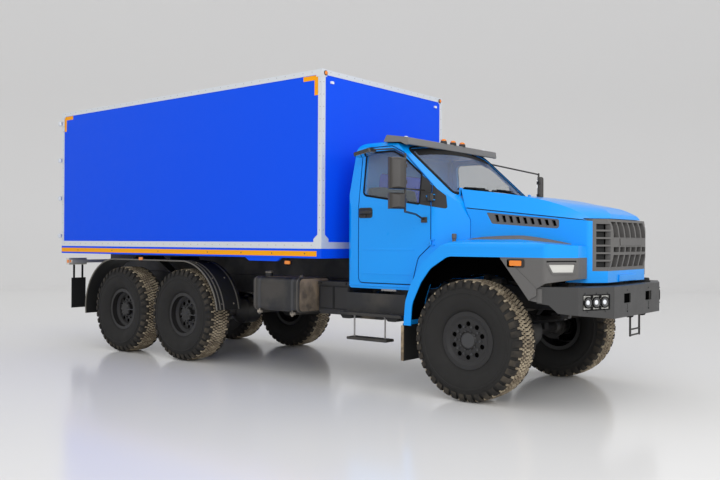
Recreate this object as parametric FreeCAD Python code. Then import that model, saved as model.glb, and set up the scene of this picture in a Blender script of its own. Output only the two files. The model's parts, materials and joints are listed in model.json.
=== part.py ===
import FreeCAD, Part
import math
import os

# Bonneted six-wheel-drive truck with a panel box body, in millimetres.
# Forward is +X, left is +Y, up is +Z. While modelling, x = 0 is the front axle, the ground is z = 0.
# Every solid is then moved along X so that the middle of the whole truck stands over the origin.

V = FreeCAD.Vector

# Running gear
wheelbase = 4555.0          # front axle to middle axle
bogie_spacing = 1400.0      # middle axle to rear axle
track = 2100.0
tyre_radius = 630.0         # out to the tips of the lugs
tyre_width = 410.0
tyre_lugs = 20              # lugs round each shoulder; the ring has as many flat faces
lug_notch = 0.42            # share of the spacing that is open between two lugs
lug_depth = 80.0            # how far a notch reaches in from the shoulder and down the side
rim_radius = 300.0          # out to the flange
rim_width = 270.0
rim_barrel_depth = 34.0     # flange height over the barrel
rim_wall = 9.0
front_disc_offset = 104.0   # wheel centre plane to the front disc
rear_disc_offset = 18.0
disc_wall = 14.0
hub_radius = 118.0
hub_cap_wall = 40.0         # hub material beyond the spindle's end
front_cap = 8.0             # how far the hub's cap stands out of the disc
rear_cap = 60.0
spindle_radius = 52.0
run_gap = 0.3               # running gap at pins, spindles and seats

# Steering
kingpin_y = 860.0
steer_ball_radius = 105.0
steer_arm_length = 250.0
steer_arm_z = 500.0
tie_rod_radius = 20.0
tie_pin_radius = 12.0

# Frame
rail_half_spacing = 400.0   # centre line of the truck to a rail's middle
rail_height = 250.0
rail_flange = 80.0
rail_wall = 10.0
rail_top_z = 1180.0
rail_front_x = 1180.0
rail_end_gap = 136.0        # frame's rear end ahead of the body's rear face
cross_member_depth = 90.0
member_clear = 7.0          # cross members clear the bends inside the rails

# Axles
axle_tube_radius = 68.0
diff_radius = 195.0
diff_width = 250.0
spring_width = 76.0
spring_thickness = 66.0
front_spring_half = 720.0
rear_spring_half = 690.0
rear_pad_z = 754.0          # top of the drive axles' spring pads
shaft_radius = 42.0
shaft_z = 790.0             # height of the shafts to the two driven rear axles
engine_rear_x = -330.0
case_front_x = -1770.0      # transfer case
case_rear_x = -2330.0
case_front_z = 760.0        # height of the front shaft at the case

# Cab
cab_half_width = 1060.0
cab_roof_half_width = 962.0
cab_rear_x = -1722.0
cab_front_x = -160.0
cab_bottom_z = 1110.0
cab_floor_z = 1216.0        # underside of the floor, over the frame
cab_belt_z = 2060.0
cab_roof_z = 2800.0
cab_wall = 50.0
screen_base_x = -353.0      # windscreen corner
screen_base_z = 2169.0
screen_half_width = 850.0
glass_foot_half = 870.0     # glass half width along its lower edge
glass_head_half = 880.0
screen_angle = 41.4
screen_bow = 80.0
cowl_lean_z = 1880.0        # above this height the front of the cab leans back beside the bonnet
cowl_lean = 0.484           # rearward per unit of height
cowl_bow = 60.0
shut_gap = 7.0
glass_thickness = 6.0
glass_inset = 12.0

# Door
door_rear_x = -1556.0
door_front_x = -537.0
door_sill_z = 1166.0
door_top_z = 2744.0
hinge_x = -540.0            # upright hinge axis of the door, in its front shut line
hinge_y = 1066.0
hinge_pin_radius = 7.0
mirror_y = 1620.0
mirror_x = -582.0
mirror_angle = 27.0         # turn of the mirror heads towards the driver

# Bonnet and nose
nose_half_width_rear = 872.0
nose_half_width_front = 700.0
nose_corner_x = 1090.0
nose_front_x = 1268.0
nose_flat_half = 457.0      # half width of the nearly flat middle of the nose
nose_bottom_z = 1245.0
wheel_well_clear = 45.0     # air over the tyre where the side panels are cut for it
nose_bulge_z = 1590.0       # height at which the nose stands out furthest
seam_rear_z = 2004.0        # joint between bonnet and side panel at the cab
seam_front_z = 1860.0
bonnet_rear_z = 2228.0      # crown of the bonnet at the cab
bonnet_front_z = 1998.0     # crown of the bonnet over the grille
panel_wall = 24.0
bonnet_axis_x = -325.0      # hinge axis of the bonnet, across the cowl
bonnet_axis_z = 2226.0
bonnet_hinge_y = 800.0
grille_half_width = 657.0
grille_bottom_z = 1362.0
grille_top_z = 1884.0
grille_depth = 46.0
grille_bar = 30.0

# Wings and lamps
wing_y = 1220.0             # outer face
wing_wall = 12.0
wing_top_z = 1668.0
wing_lip_z = 1496.0
wing_corner_x = 885.0
wing_front_x = 1080.0
wing_front_y = 905.0
lamp_wall = 16.0
lamp_bottom_z = 1250.0

# Bumper
bumper_front_x = 1338.0
bumper_half_flat = 640.0
bumper_fold_x = 1165.0
bumper_fold_y = 1095.0
bumper_end_x = 790.0
bumper_end_y = 1205.0
bumper_top_z = 1215.0
bumper_bottom_z = 900.0
bumper_wall = 12.0
lamp_window_z = 1070.0
lamp_window_width = 350.0
lamp_window_height = 132.0

# Box body
box_front_x = -1934.0
rear_overhang = 1511.0      # rear axle to the rear face of the body
box_half_width = 1275.0
box_floor_z = 1560.0        # underside of the panels, top of the base frame
box_top_z = 3670.0
box_base_height = 115.0     # painted skirt under the panels
skirt_wall = 60.0
bearer_width = 60.0
bearer_count = 8
box_wall = 60.0
profile_width = 62.0        # upright and top profiles
low_profile_width = 78.0    # profiles along the floor
profile_stand = 4.0         # edge profiles stand proud of the panels
box_door_wall = 52.0
lock_stand = 40.0
strap_axis_back = 25.0      # rear door hinge axis behind the doors' faces
strap_axis_out = 22.0       # and outside the side wall
strap_pin_radius = 7.0

# Tanks, steps, guards and hitch
side_box_front_x = -1820.0
side_box_length = 480.0
tank_lead = 60.0            # side box to tank
tank_share = 0.535          # tank length in the free length between side box and mudguard
tank_height = 420.0
tank_depth = 560.0
tank_bottom_z = 780.0
tank_outer_y = 1200.0
step_front_x = -830.0
step_length = 900.0
guard_y = 1250.0
guard_lead = 40.0           # centre of the front arc ahead of the middle axle
guard_trail = 120.0         # centre of the rear arc behind the rear axle
guard_width = 430.0
guard_radius = 735.0
guard_wall = 10.0
tow_z = 1030.0
tow_bore_radius = 20.0

middle_axle_x = -wheelbase
rear_axle_x = -wheelbase - bogie_spacing
box_rear_x = rear_axle_x - rear_overhang
box_length = box_front_x - box_rear_x
box_height = box_top_z - box_floor_z
rail_rear_x = box_rear_x + rail_end_gap
half_track = track / 2
side_box_rear_x = side_box_front_x - side_box_length
guard_front_x = middle_axle_x + guard_lead + guard_radius + guard_wall
tank_front_x = side_box_rear_x - tank_lead
tank_length = tank_share * (side_box_rear_x - guard_front_x)
origin_shift = -(bumper_front_x + box_rear_x - lock_stand) / 2


# Drawing helpers

def rounded(corners, place):
    """Closed wire through flat corners (a, b) or (a, b, radius), placed in space by place(a, b)."""
    n = len(corners)
    starts, arcs, ends = [], [], []
    for i, corner in enumerate(corners):
        a, b = corner[0], corner[1]
        r = corner[2] if len(corner) > 2 else 0.0
        here = V(a, b, 0)
        before = V(corners[i - 1][0], corners[i - 1][1], 0)
        after = V(corners[(i + 1) % n][0], corners[(i + 1) % n][1], 0)
        u = (before - here).normalize()
        w = (after - here).normalize()
        if r <= 0:
            starts.append(here)
            arcs.append(None)
            ends.append(here)
            continue
        half = u.getAngle(w) / 2
        reach = r / math.tan(half)
        inward = (u + w).normalize()
        starts.append(here + u * reach)
        arcs.append(here + inward * (r / math.sin(half) - r))
        ends.append(here + w * reach)
    edges = []
    for i in range(n):
        p, q = ends[i - 1], starts[i]
        if (q - p).Length > 1e-6:
            edges.append(Part.LineSegment(place(p.x, p.y), place(q.x, q.y)).toShape())
        if arcs[i] is not None:
            m = arcs[i]
            e = ends[i]
            edges.append(Part.Arc(place(q.x, q.y), place(m.x, m.y), place(e.x, e.y)).toShape())
    return Part.Wire(edges)


def inset_face(wire, inset):
    """Face of a flat wire, moved inward by inset (outward if negative)."""
    face = Part.Face(wire)
    return face if abs(inset) < 1e-9 else face.makeOffset2D(-inset, 2)


def side_prism(corners, y0, y1, inset=0.0):
    """Side-view outline of (x, z) corners, from y0 to y1."""
    face = inset_face(rounded(corners, lambda a, b: V(a, y0, b)), inset)
    return face.extrude(V(0, y1 - y0, 0))


def plan_prism(corners, z0, z1, inset=0.0):
    """Plan outline of (x, y) corners, from z0 to z1."""
    face = inset_face(rounded(corners, lambda a, b: V(a, b, z0)), inset)
    return face.extrude(V(0, 0, z1 - z0))


def front_prism(corners, x0, x1, inset=0.0):
    """Front-view outline of (y, z) corners, from x0 to x1."""
    face = inset_face(rounded(corners, lambda a, b: V(x0, a, b)), inset)
    return face.extrude(V(x1 - x0, 0, 0))


def block(x0, x1, y0, y1, z0, z1):
    return Part.makeBox(x1 - x0, y1 - y0, z1 - z0, V(x0, y0, z0))


def rod(start, end, radius):
    along = end - start
    return Part.makeCylinder(radius, along.Length, start, along)


def across(x, y0, y1, z, radius):
    """Cylinder along Y."""
    return rod(V(x, y0, z), V(x, y1, z), radius)


def upright(x, y, z0, z1, radius):
    return Part.makeCylinder(radius, z1 - z0, V(x, y, z0))


def mirrored(shape):
    """The same piece on the other side of the truck."""
    return shape.mirror(V(0, 0, 0), V(0, 1, 0))


def both(shape):
    return [shape, mirrored(shape)]


def mirror_corners(corners):
    """Full outline from its y > 0 half, given from front to rear or top to bottom."""
    return corners + [(a, -b, *rest) for a, b, *rest in reversed(corners)]


def turned(profile, x, y, z):
    """Solid of revolution about the Y axis through (x, z). The wire's points are (radius, distance along Y)."""
    solid = Part.Face(profile).revolve(V(0, 0, 0), V(0, 1, 0), 360)
    solid.translate(V(x, y, z))
    return solid


def ring_wire(points):
    """Closed wire of straight runs in the (radius, along) half plane; a point with a third value is on an arc."""
    edges = []
    i = 0
    n = len(points)
    while i < n:
        here = points[i]
        nxt = points[(i + 1) % n]
        if len(nxt) == 3:
            last = points[(i + 2) % n]
            edges.append(Part.Arc(V(here[0], here[1], 0), V(nxt[0], nxt[1], 0), V(last[0], last[1], 0)).toShape())
            i += 2
        else:
            edges.append(Part.LineSegment(V(here[0], here[1], 0), V(nxt[0], nxt[1], 0)).toShape())
            i += 1
    return Part.Wire(edges)


# Wheels, modelled at the origin with the outboard side towards +Y

def flat_ring(outline):
    """Solid of flat faces round the Y axis from a closed outline of (y, radius), flat at the bottom."""
    step = 2 * math.pi / tyre_lugs
    rings = []
    for y, radius in outline:
        reach = radius / math.cos(step / 2)
        angles = [(k + 0.5) * step - math.pi / 2 for k in range(tyre_lugs + 1)]
        rings.append([V(reach * math.cos(a), y, reach * math.sin(a)) for a in angles])
    faces = []
    for i in range(len(rings)):
        near, far = rings[i - 1], rings[i]
        for k in range(tyre_lugs):
            faces.append(Part.Face(Part.makePolygon([near[k], near[k + 1], far[k + 1], far[k], near[k]])))
    solid = Part.makeSolid(Part.makeShell(faces))
    if solid.Volume < 0:
        solid.reverse()
    return solid


def tyre():
    """Ring of rubber in flat faces, with lugs left standing between the notches of both shoulders."""
    half = tyre_width / 2
    bead = rim_radius - rim_barrel_depth + run_gap
    bead_half = rim_width / 2 - 14
    shoulder = half - 27
    outline = [(bead_half, rim_radius + 4), (half, rim_radius + 140), (shoulder, tyre_radius)]
    outline = [(-bead_half, bead)] + [(-y, r) for y, r in outline] + outline[::-1] + [(bead_half, bead)]
    ring = flat_ring(outline)
    width = lug_notch * 2 * math.pi * tyre_radius / tyre_lugs
    deep = side_prism([(-width / 2, tyre_radius - 300), (width / 2, tyre_radius - 300), (width / 2, tyre_radius + 60),
                       (-width / 2, tyre_radius + 60)], shoulder - 0.8 * lug_depth, half + 40)
    y0 = shoulder - 0.8 * lug_depth
    floor = [V(-width, y0, tyre_radius - 2), V(-width, y0, tyre_radius + 60), V(-width, half + 40, tyre_radius + 60),
             V(-width, half + 40, tyre_radius - 2 - lug_depth * (half + 40 - y0) / (half - y0)),
             V(-width, y0, tyre_radius - 2)]
    wedge = Part.Face(Part.makePolygon(floor)).extrude(V(2 * width, 0, 0))
    notch = deep.common(wedge)
    notches = []
    for k in range(tyre_lugs):
        turned_notch = notch.copy()
        turned_notch.rotate(V(0, 0, 0), V(0, 1, 0), 360.0 * k / tyre_lugs)
        notches += both(turned_notch)
    return ring.cut(notches)


def rim(disc_offset, cap_length):
    """Flanged barrel, pierced disc and hub in one casting, with a blind bore for the spindle."""
    half = rim_width / 2
    barrel = rim_radius - rim_barrel_depth
    inside = barrel - rim_wall
    face = disc_offset + disc_wall
    bore = spindle_radius + run_gap
    hub_end = face + cap_length
    profile = ring_wire([
        (barrel, -half + rim_wall), (rim_radius, -half + rim_wall), (rim_radius, -half), (inside, -half),
        (inside, disc_offset - 30), (inside - 30, disc_offset), (hub_radius, disc_offset),
        (hub_radius - 14, disc_offset - 90), (bore, disc_offset - 90), (bore, hub_end - hub_cap_wall), (0, hub_end - hub_cap_wall),
        (0, hub_end), (hub_radius - 36, hub_end), (hub_radius - 22, hub_end - 12), (hub_radius - 18, face),
        (inside - 36, face), (inside, face + 26 if face + 26 < half else half),
        (inside, half), (rim_radius, half), (rim_radius, half - rim_wall), (barrel, half - rim_wall),
    ]) if face + 26 < half - 1 else ring_wire([
        (barrel, -half + rim_wall), (rim_radius, -half + rim_wall), (rim_radius, -half), (inside, -half),
        (inside, disc_offset - 30), (inside - 30, disc_offset), (hub_radius, disc_offset),
        (hub_radius - 14, disc_offset - 90), (bore, disc_offset - 90), (bore, hub_end - hub_cap_wall), (0, hub_end - hub_cap_wall),
        (0, hub_end), (hub_radius - 36, hub_end), (hub_radius - 22, hub_end - 12), (hub_radius - 18, face),
        (inside - 36, face), (inside, half), (rim_radius, half), (rim_radius, half - rim_wall),
        (barrel, half - rim_wall),
    ])
    body = turned(profile, 0, 0, 0)
    holes = []
    for i in range(10):
        a = math.radians(36 * i + 18)
        ring = (inside + hub_radius) / 2 - 14
        holes.append(across(ring * math.cos(a), disc_offset - 60, face + 60, ring * math.sin(a), 26))
    return body.cut(holes)


def placed_wheel(shape, x, side):
    """side is 1 on the left and -1 on the right."""
    wheel = shape if side > 0 else mirrored(shape)
    wheel = wheel.copy()
    wheel.translate(V(x, side * half_track, tyre_radius))
    return wheel


# Axles and steering

def diff_housing(x, side_offset=0.0):
    """Round differential housing with its pinion nose, on the axle's line."""
    bowl = Part.makeCylinder(diff_radius, diff_width, V(x, -diff_width / 2 + side_offset, tyre_radius), V(0, 1, 0))
    ends = []
    for s in (-1, 1):
        tip = V(x, side_offset + s * (diff_width / 2), tyre_radius)
        ends.append(Part.makeCone(diff_radius, axle_tube_radius + 8, 140, tip, V(0, s, 0)))
    return bowl.fuse(ends)


def front_shaft_point(reach):
    """Point on the line from the front axle's middle to the transfer case."""
    start = V(0, 0, tyre_radius)
    along = V(case_front_x, 0, case_front_z) - start
    return start + along.normalize() * reach


def front_axle():
    """Drive axle whose two ball ends carry the steering knuckles."""
    tube = across(0, -kingpin_y + 40, kingpin_y - 40, tyre_radius, axle_tube_radius)
    balls = [Part.makeSphere(steer_ball_radius, V(0, s * kingpin_y, tyre_radius)) for s in (-1, 1)]
    nose = rod(front_shaft_point(diff_radius - 30), front_shaft_point(diff_radius + 130), 80)
    pads = [block(-110, 110, s * rail_half_spacing - 50, s * rail_half_spacing + 50,
                  tyre_radius, tyre_radius + axle_tube_radius + 22) for s in (-1, 1)]
    return tube.fuse(balls + [diff_housing(0), nose] + pads).removeSplitter()


def drive_axle(x):
    """Fixed drive axle; its spindles run in the wheel hubs."""
    hub_in = half_track + rear_disc_offset - 92 - 20
    end = half_track + rear_disc_offset + disc_wall + rear_cap - hub_cap_wall - run_gap
    tube = across(x, -hub_in, hub_in, tyre_radius, axle_tube_radius)
    spindle = across(x, -end, end, tyre_radius, spindle_radius)
    nose = rod(V(x + diff_radius - 80, 0, shaft_z), V(x + diff_radius + 120, 0, shaft_z), 72)
    pads = [block(x - 90, x + 90, s * rail_half_spacing - 50, s * rail_half_spacing + 50,
                  tyre_radius, rear_pad_z) for s in (-1, 1)]
    drums = [across(x, s * (hub_in - 70), s * hub_in, tyre_radius, 150) for s in (-1, 1)]
    pieces = [spindle, diff_housing(x), nose] + pads + drums
    if x == middle_axle_x:
        pieces.append(rod(V(x, 0, shaft_z), V(x - diff_radius - 60, 0, shaft_z), 62))
    return tube.fuse(pieces).removeSplitter()


def knuckle():
    """Left steering knuckle: a cup round the axle's ball, the wheel's spindle and the arm to the tie rod."""
    centre = V(0, kingpin_y, tyre_radius)
    cup_radius = steer_ball_radius + 26
    cup = Part.makeSphere(cup_radius, centre)
    flange = across(0, kingpin_y + 60, half_track + front_disc_offset - 92 - 14, tyre_radius, 92)
    tip = half_track + front_disc_offset + disc_wall + front_cap - hub_cap_wall - run_gap
    spindle = across(0, kingpin_y + 80, tip, tyre_radius, spindle_radius)
    bosses = upright(0, kingpin_y, tyre_radius - cup_radius - 24, tyre_radius + cup_radius + 24, 46)
    arm_y0, arm_y1 = kingpin_y - 26, kingpin_y + 26
    arm = side_prism([(40, tyre_radius - cup_radius - 22, 12), (40, tyre_radius - cup_radius + 30, 12),
                      (-60, tyre_radius - cup_radius + 34, 20), (-steer_arm_length - 28, steer_arm_z + 58, 10),
                      (-steer_arm_length - 28, steer_arm_z + 32, 10), (-steer_arm_length + 60, steer_arm_z + 32, 10),
                      (-60, tyre_radius - cup_radius - 22, 20)],
                     arm_y0, arm_y1)
    pin = upright(-steer_arm_length, kingpin_y, steer_arm_z - 34, steer_arm_z + 40, tie_pin_radius)
    body = cup.fuse([flange, spindle, bosses, arm, pin])
    hollow = Part.makeSphere(steer_ball_radius + run_gap, centre)
    mouth = block(-300, 300, kingpin_y - cup_radius - 20, kingpin_y - 25, tyre_radius - 86, tyre_radius + 250)
    inboard = block(-cup_radius - 5, cup_radius + 5, kingpin_y - cup_radius - 20, kingpin_y - 27,
                    tyre_radius - cup_radius - 60, tyre_radius + cup_radius + 60)
    return body.cut([hollow, mouth, inboard]).removeSplitter()


def tie_rod():
    """Rod between the two arms' pins, with an eye at each end."""
    eye_radius = tie_pin_radius + 20
    bar = across(-steer_arm_length, -kingpin_y + eye_radius - 4, kingpin_y - eye_radius + 4, steer_arm_z, tie_rod_radius)
    eyes = [upright(-steer_arm_length, s * kingpin_y, steer_arm_z - 24, steer_arm_z + 24, eye_radius) for s in (-1, 1)]
    bores = [upright(-steer_arm_length, s * kingpin_y, steer_arm_z - 30, steer_arm_z + 30, tie_pin_radius + run_gap)
             for s in (-1, 1)]
    return bar.fuse(eyes).cut(bores)


# Frame

def chassis_rails():
    """Two pressed channel rails, open towards the middle."""
    outer = rail_half_spacing + rail_flange / 2
    inner = rail_half_spacing - rail_flange / 2
    bottom = rail_top_z - rail_height
    rail = front_prism([(inner, bottom), (outer, bottom, 14), (outer, rail_top_z, 14), (inner, rail_top_z),
                        (inner, rail_top_z - rail_wall), (outer - rail_wall, rail_top_z - rail_wall, 6),
                        (outer - rail_wall, bottom + rail_wall, 6), (inner, bottom + rail_wall)],
                       rail_rear_x, rail_front_x)
    return both(rail)


def cross_members():
    """Channel cross members that join the rails' webs."""
    web = rail_half_spacing + rail_flange / 2 - rail_wall
    bottom = rail_top_z - rail_height + rail_wall + member_clear
    top = rail_top_z - rail_wall - member_clear
    places = [rail_front_x - 100, -1500.0, -2700.0, (middle_axle_x - 600), middle_axle_x - bogie_spacing / 2,
              rear_axle_x - 500, rail_rear_x + 5]
    members = []
    for x in places:
        depth = cross_member_depth
        member = side_prism([(x, bottom), (x + depth, bottom), (x + depth, bottom + 10), (x + 10, bottom + 10),
                             (x + 10, top - 10), (x + depth, top - 10), (x + depth, top), (x, top)], -web, web)
        members.append(member)
    members[-1] = members[-1].fuse(tow_hitch()).removeSplitter()
    return members


def leaf_pack(x, half, y, eye_z, low_z, thickness):
    """Curved pack of leaves, thickest in the middle, from eye to eye."""
    top = [(x - half, eye_z), (x + half, eye_z)]
    upper = Part.Arc(V(top[0][0], 0, eye_z), V(x, 0, low_z + thickness), V(top[1][0], 0, eye_z)).toShape()
    step_z = eye_z - 16
    right = Part.LineSegment(V(x + half, 0, eye_z), V(x + half, 0, step_z)).toShape()
    lower_r = Part.LineSegment(V(x + half, 0, step_z), V(x + 110, 0, low_z)).toShape()
    flat = Part.LineSegment(V(x + 110, 0, low_z), V(x - 110, 0, low_z)).toShape()
    lower_l = Part.LineSegment(V(x - 110, 0, low_z), V(x - half, 0, step_z)).toShape()
    left = Part.LineSegment(V(x - half, 0, step_z), V(x - half, 0, eye_z)).toShape()
    pack = Part.Face(Part.Wire([upper, right, lower_r, flat, lower_l, left])).extrude(V(0, spring_width, 0))
    pack.translate(V(0, y - spring_width / 2, 0))
    return pack


def leaf_springs():
    """Four leaf packs. The rear two sit on the bogie's pivot, and their ends rest on the drive axles."""
    seat = tyre_radius + axle_tube_radius + 22
    front = leaf_pack(0, front_spring_half, rail_half_spacing, seat + 130, seat, spring_thickness)
    pivot_x = middle_axle_x - bogie_spacing / 2
    low = seat + 74
    end_z = rear_pad_z + run_gap + 16
    rear = leaf_pack(pivot_x, rear_spring_half, rail_half_spacing + 2, end_z, low, spring_thickness + 14)
    return both(front) + both(rear)


def spring_hangers():
    """Brackets under the rails that hold the front springs' eyes and the bogie's pivot."""
    seat = tyre_radius + axle_tube_radius + 22
    bottom = rail_top_z - rail_height
    pieces = []
    for x in (-front_spring_half, front_spring_half):
        eye = seat + 130
        hanger = side_prism([(x - 60, bottom), (x + 60, bottom), (x + 36, eye - 20), (x - 36, eye - 20)],
                            rail_half_spacing - 38, rail_half_spacing + 38)
        clear = block(x - 80, x + 80, rail_half_spacing - 60, rail_half_spacing + 60, eye - 90, eye + run_gap)
        pieces += both(hanger.cut(clear))
    pivot_x = middle_axle_x - bogie_spacing / 2
    low = seat + 74
    outer = rail_half_spacing + 2
    saddle = side_prism([(pivot_x - 210, bottom), (pivot_x + 210, bottom), (pivot_x + 100, low - 170, 50),
                         (pivot_x - 100, low - 170, 50)], outer - spring_width / 2 - 44, outer - spring_width / 2)
    perch = block(pivot_x - 100, pivot_x + 100, outer - spring_width / 2 - 44, outer + spring_width / 2,
                  low - 60, low)
    tube = across(pivot_x, 0, outer - spring_width / 2 - 20, low - 108, 48)
    bogie = saddle.fuse([perch, tube])
    return pieces + [bogie.fuse(mirrored(bogie)).removeSplitter()]


def prop_shafts():
    """Jointed tubes from the transfer case to the three axles."""
    case_end = block(case_front_x - 400, case_front_x + run_gap, -200, 200, case_front_z - 200, case_front_z + 200)
    to_front = rod(front_shaft_point(-case_front_x + 20), front_shaft_point(diff_radius + 130 + run_gap), shaft_radius)
    to_middle = rod(V(case_rear_x - run_gap, 0, shaft_z),
                    V(middle_axle_x + diff_radius + 120 + run_gap, 0, shaft_z), shaft_radius)
    between = rod(V(middle_axle_x - diff_radius - 60 - run_gap, 0, shaft_z),
                  V(rear_axle_x + diff_radius + 120 + run_gap, 0, shaft_z), shaft_radius)
    return [to_front.cut(case_end), to_middle, between]


def gearbox():
    """Gearbox and transfer case hung between the rails."""
    bell = rod(V(engine_rear_x - run_gap, 0, 1010), V(-560, 0, 1000), 196)
    box = side_prism([(-545, 840, 40), (-545, 1150, 40), (-900, 1150, 80), (-1250, 1100, 60), (-1250, 820, 40)],
                     -200, 200)
    case = side_prism([(case_front_x, 660, 60), (case_front_x, 1060, 60), (case_rear_x, 1060, 60),
                       (case_rear_x, 660, 60)], -240, 240)
    link = rod(V(-1249, 0, 886), V(case_front_x - 1, 0, 886), 44)
    reach = rail_half_spacing + rail_flange / 2 - rail_wall - run_gap
    middle = (case_front_x + case_rear_x) / 2
    arms = block(middle - 70, middle + 70, -reach, reach, 1000, 1052)
    return [box.fuse([bell, link, case, arms]).removeSplitter()]


def engine():
    """In-line engine between the rails: crankcase, sump, cylinder head with its cover, and the fan's hub."""
    front_x = 700.0
    crankcase = front_prism([(-190, 980, 20), (-300, 1120, 40), (-270, 1420, 20), (270, 1420, 20),
                             (300, 1120, 40), (190, 980, 20)], engine_rear_x, front_x)
    sump = side_prism([(engine_rear_x + 60, 1000), (engine_rear_x + 60, 860, 60), (60, 860, 60), (200, 930, 60),
                       (front_x - 40, 930, 40), (front_x - 40, 1000)], -150, 150)
    head = block(engine_rear_x + 30, front_x - 60, -170, 170, 1400, 1530)
    cover = front_prism([(-120, 1520), (-120, 1600, 40), (120, 1600, 40), (120, 1520)],
                        engine_rear_x + 50, front_x - 80)
    manifold = rod(V(engine_rear_x + 120, 240, 1460), V(front_x - 140, 240, 1460), 60)
    exhaust = rod(V(engine_rear_x + 120, -236, 1440), V(front_x - 140, -236, 1440), 52)
    hub = rod(V(front_x - 10, 0, 1330), V(front_x + 100, 0, 1330), 70)
    flywheel = rod(V(engine_rear_x, 0, 1010), V(engine_rear_x + 90, 0, 1010), 205)
    feet = [block(x, x + 120, -430, 430, rail_top_z + run_gap, rail_top_z + 60) for x in (-150, 450)]
    return [crankcase.fuse([sump, head, cover, manifold, exhaust, hub, flywheel] + feet).removeSplitter()]


def front_bulkhead():
    """Radiator in its frame, standing on the rails and reaching the side panels."""
    x0 = nose_corner_x - 190
    x1 = x0 + 60
    low, high = rail_top_z + 80, seam_front_z - 100
    frame = block(x0, x1, -nose_half_width_rear, nose_half_width_rear, rail_top_z, high + 40)
    frame = frame.common(nose_form(panel_wall + run_gap))
    opening = block(x0 - 20, x1 + 20, -430, 430, low, high)
    lower = block(x0 - 20, x1 + 20, rail_half_spacing + rail_flange / 2 + 120, nose_half_width_rear + 20,
                  rail_top_z - 50, (low + high) / 2)
    core = block(x0 + 6, x1 - 6, -430, 430, low, high)
    rows = [block(x0 - 20, x0 + 10, -430 + 12, 430 - 12, low + 14 + k * 46, low + 14 + k * 46 + 32)
            for k in range(int((high - low) / 46))]
    return [frame.cut([opening, lower, mirrored(lower)]).fuse(core.cut(rows)).removeSplitter()]


# Cab

def screen_cylinder(inset):
    """Large cylinder whose surface is the bowed windscreen."""
    slope = math.radians(screen_angle)
    normal = V(math.sin(slope), 0, math.cos(slope))
    along = V(-math.cos(slope), 0, math.sin(slope))
    radius = (screen_half_width ** 2 + screen_bow ** 2) / (2 * screen_bow)
    crown = V(screen_base_x, 0, screen_base_z) + normal * screen_bow
    centre = crown - normal * radius
    reach = cab_front_x - cab_rear_x + cab_roof_z
    return Part.makeCylinder(radius - inset, 2 * reach, centre - along * reach, along)


def cowl_front_x(z):
    """Front face of the cab at height z: upright low down, leaning back beside the bonnet."""
    return cab_front_x if z < cowl_lean_z else cab_front_x - (z - cowl_lean_z) * cowl_lean


def cowl_cylinder(inset):
    """Large leaning cylinder whose surface is the bowed front of the cab beside and behind the bonnet."""
    along = V(-cowl_lean, 0, 1).normalize()
    normal = V(1, 0, cowl_lean).normalize()
    radius = (nose_half_width_rear ** 2 + cowl_bow ** 2) / (2 * cowl_bow)
    centre = V(cab_front_x, 0, cowl_lean_z) + normal * (cowl_bow - radius)
    reach = cab_front_x - cab_rear_x + cab_roof_z
    return Part.makeCylinder(radius - inset, 2 * reach, centre - along * reach, along)


def cab_form(inset=0.0):
    """Outer form of the cab, or the same form moved inward by inset."""
    slope = math.radians(screen_angle)
    crown_x = screen_base_x + screen_bow / math.sin(slope)
    top_z = cab_roof_z - 62
    top_x = crown_x - (top_z - screen_base_z) / math.tan(slope)
    meet_z = screen_base_z + 8
    meet_x = crown_x - (meet_z - screen_base_z) / math.tan(slope)
    side = side_prism([
        (cab_rear_x + 30, cab_bottom_z, 40), (cab_rear_x, cab_bottom_z + 400, 900),
        (cab_rear_x + 8, cab_belt_z, 900), (cab_rear_x + 82, cab_roof_z - 8, 110),
        (cab_rear_x + 420, cab_roof_z, 900), (top_x, top_z, 70), (meet_x + 14, meet_z - 12),
        (cab_front_x + 90, meet_z - 12), (cab_front_x + 90, cowl_lean_z), (cab_front_x, cowl_lean_z),
        (cab_front_x, 1680),
        (-350, 1640, 80), (-560, 1480, 120), (-705, 1230, 120), (-800, cab_bottom_z, 20),
    ], -1300, 1300, inset)
    tunnel = rail_half_spacing + rail_flange / 2 + 40
    low = cab_bottom_z - 70
    front = front_prism([
        (-cab_half_width + 18, low), (-cab_half_width, cab_bottom_z + 180, 400),
        (-cab_half_width, cab_belt_z, 420), (-cab_roof_half_width, cab_roof_z + 8, 120),
        (cab_roof_half_width, cab_roof_z + 8, 120), (cab_half_width, cab_belt_z, 420),
        (cab_half_width, cab_bottom_z + 180, 400), (cab_half_width - 18, low),
        (tunnel + 100, low), (tunnel, cab_floor_z), (-tunnel, cab_floor_z), (-tunnel - 100, low),
    ], cab_rear_x - 200, cab_front_x + 200, inset)
    plan = plan_prism(mirror_corners([
        (cab_front_x + 60, nose_half_width_rear - 31), (-520, cab_half_width + 1, 240),
        (cab_rear_x - 14, cab_half_width + 1, 90),
    ]), cab_bottom_z - 300, cab_roof_z + 300, inset)
    return side.common(front).common(plan).common(screen_cylinder(inset)).common(cowl_cylinder(inset))


def door_outline():
    return [
        (door_rear_x, door_sill_z, 60), (-796, door_sill_z, 30), (-762, 1250, 60), (-700, 1470, 120),
        (door_front_x, 1606, 60), (door_front_x, 2274, 40), (-958, door_top_z - 84, 90),
        (-1130, door_top_z, 90), (door_rear_x, door_top_z, 90),
    ]


def window_outline():
    return [
        (-1482, 2204, 40), (-1440, 2184, 20), (-700, 2070, 12), (-700, 2386, 12), (-972, 2602, 60),
        (-1110, 2668, 60), (-1482, 2668, 50),
    ]


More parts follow.
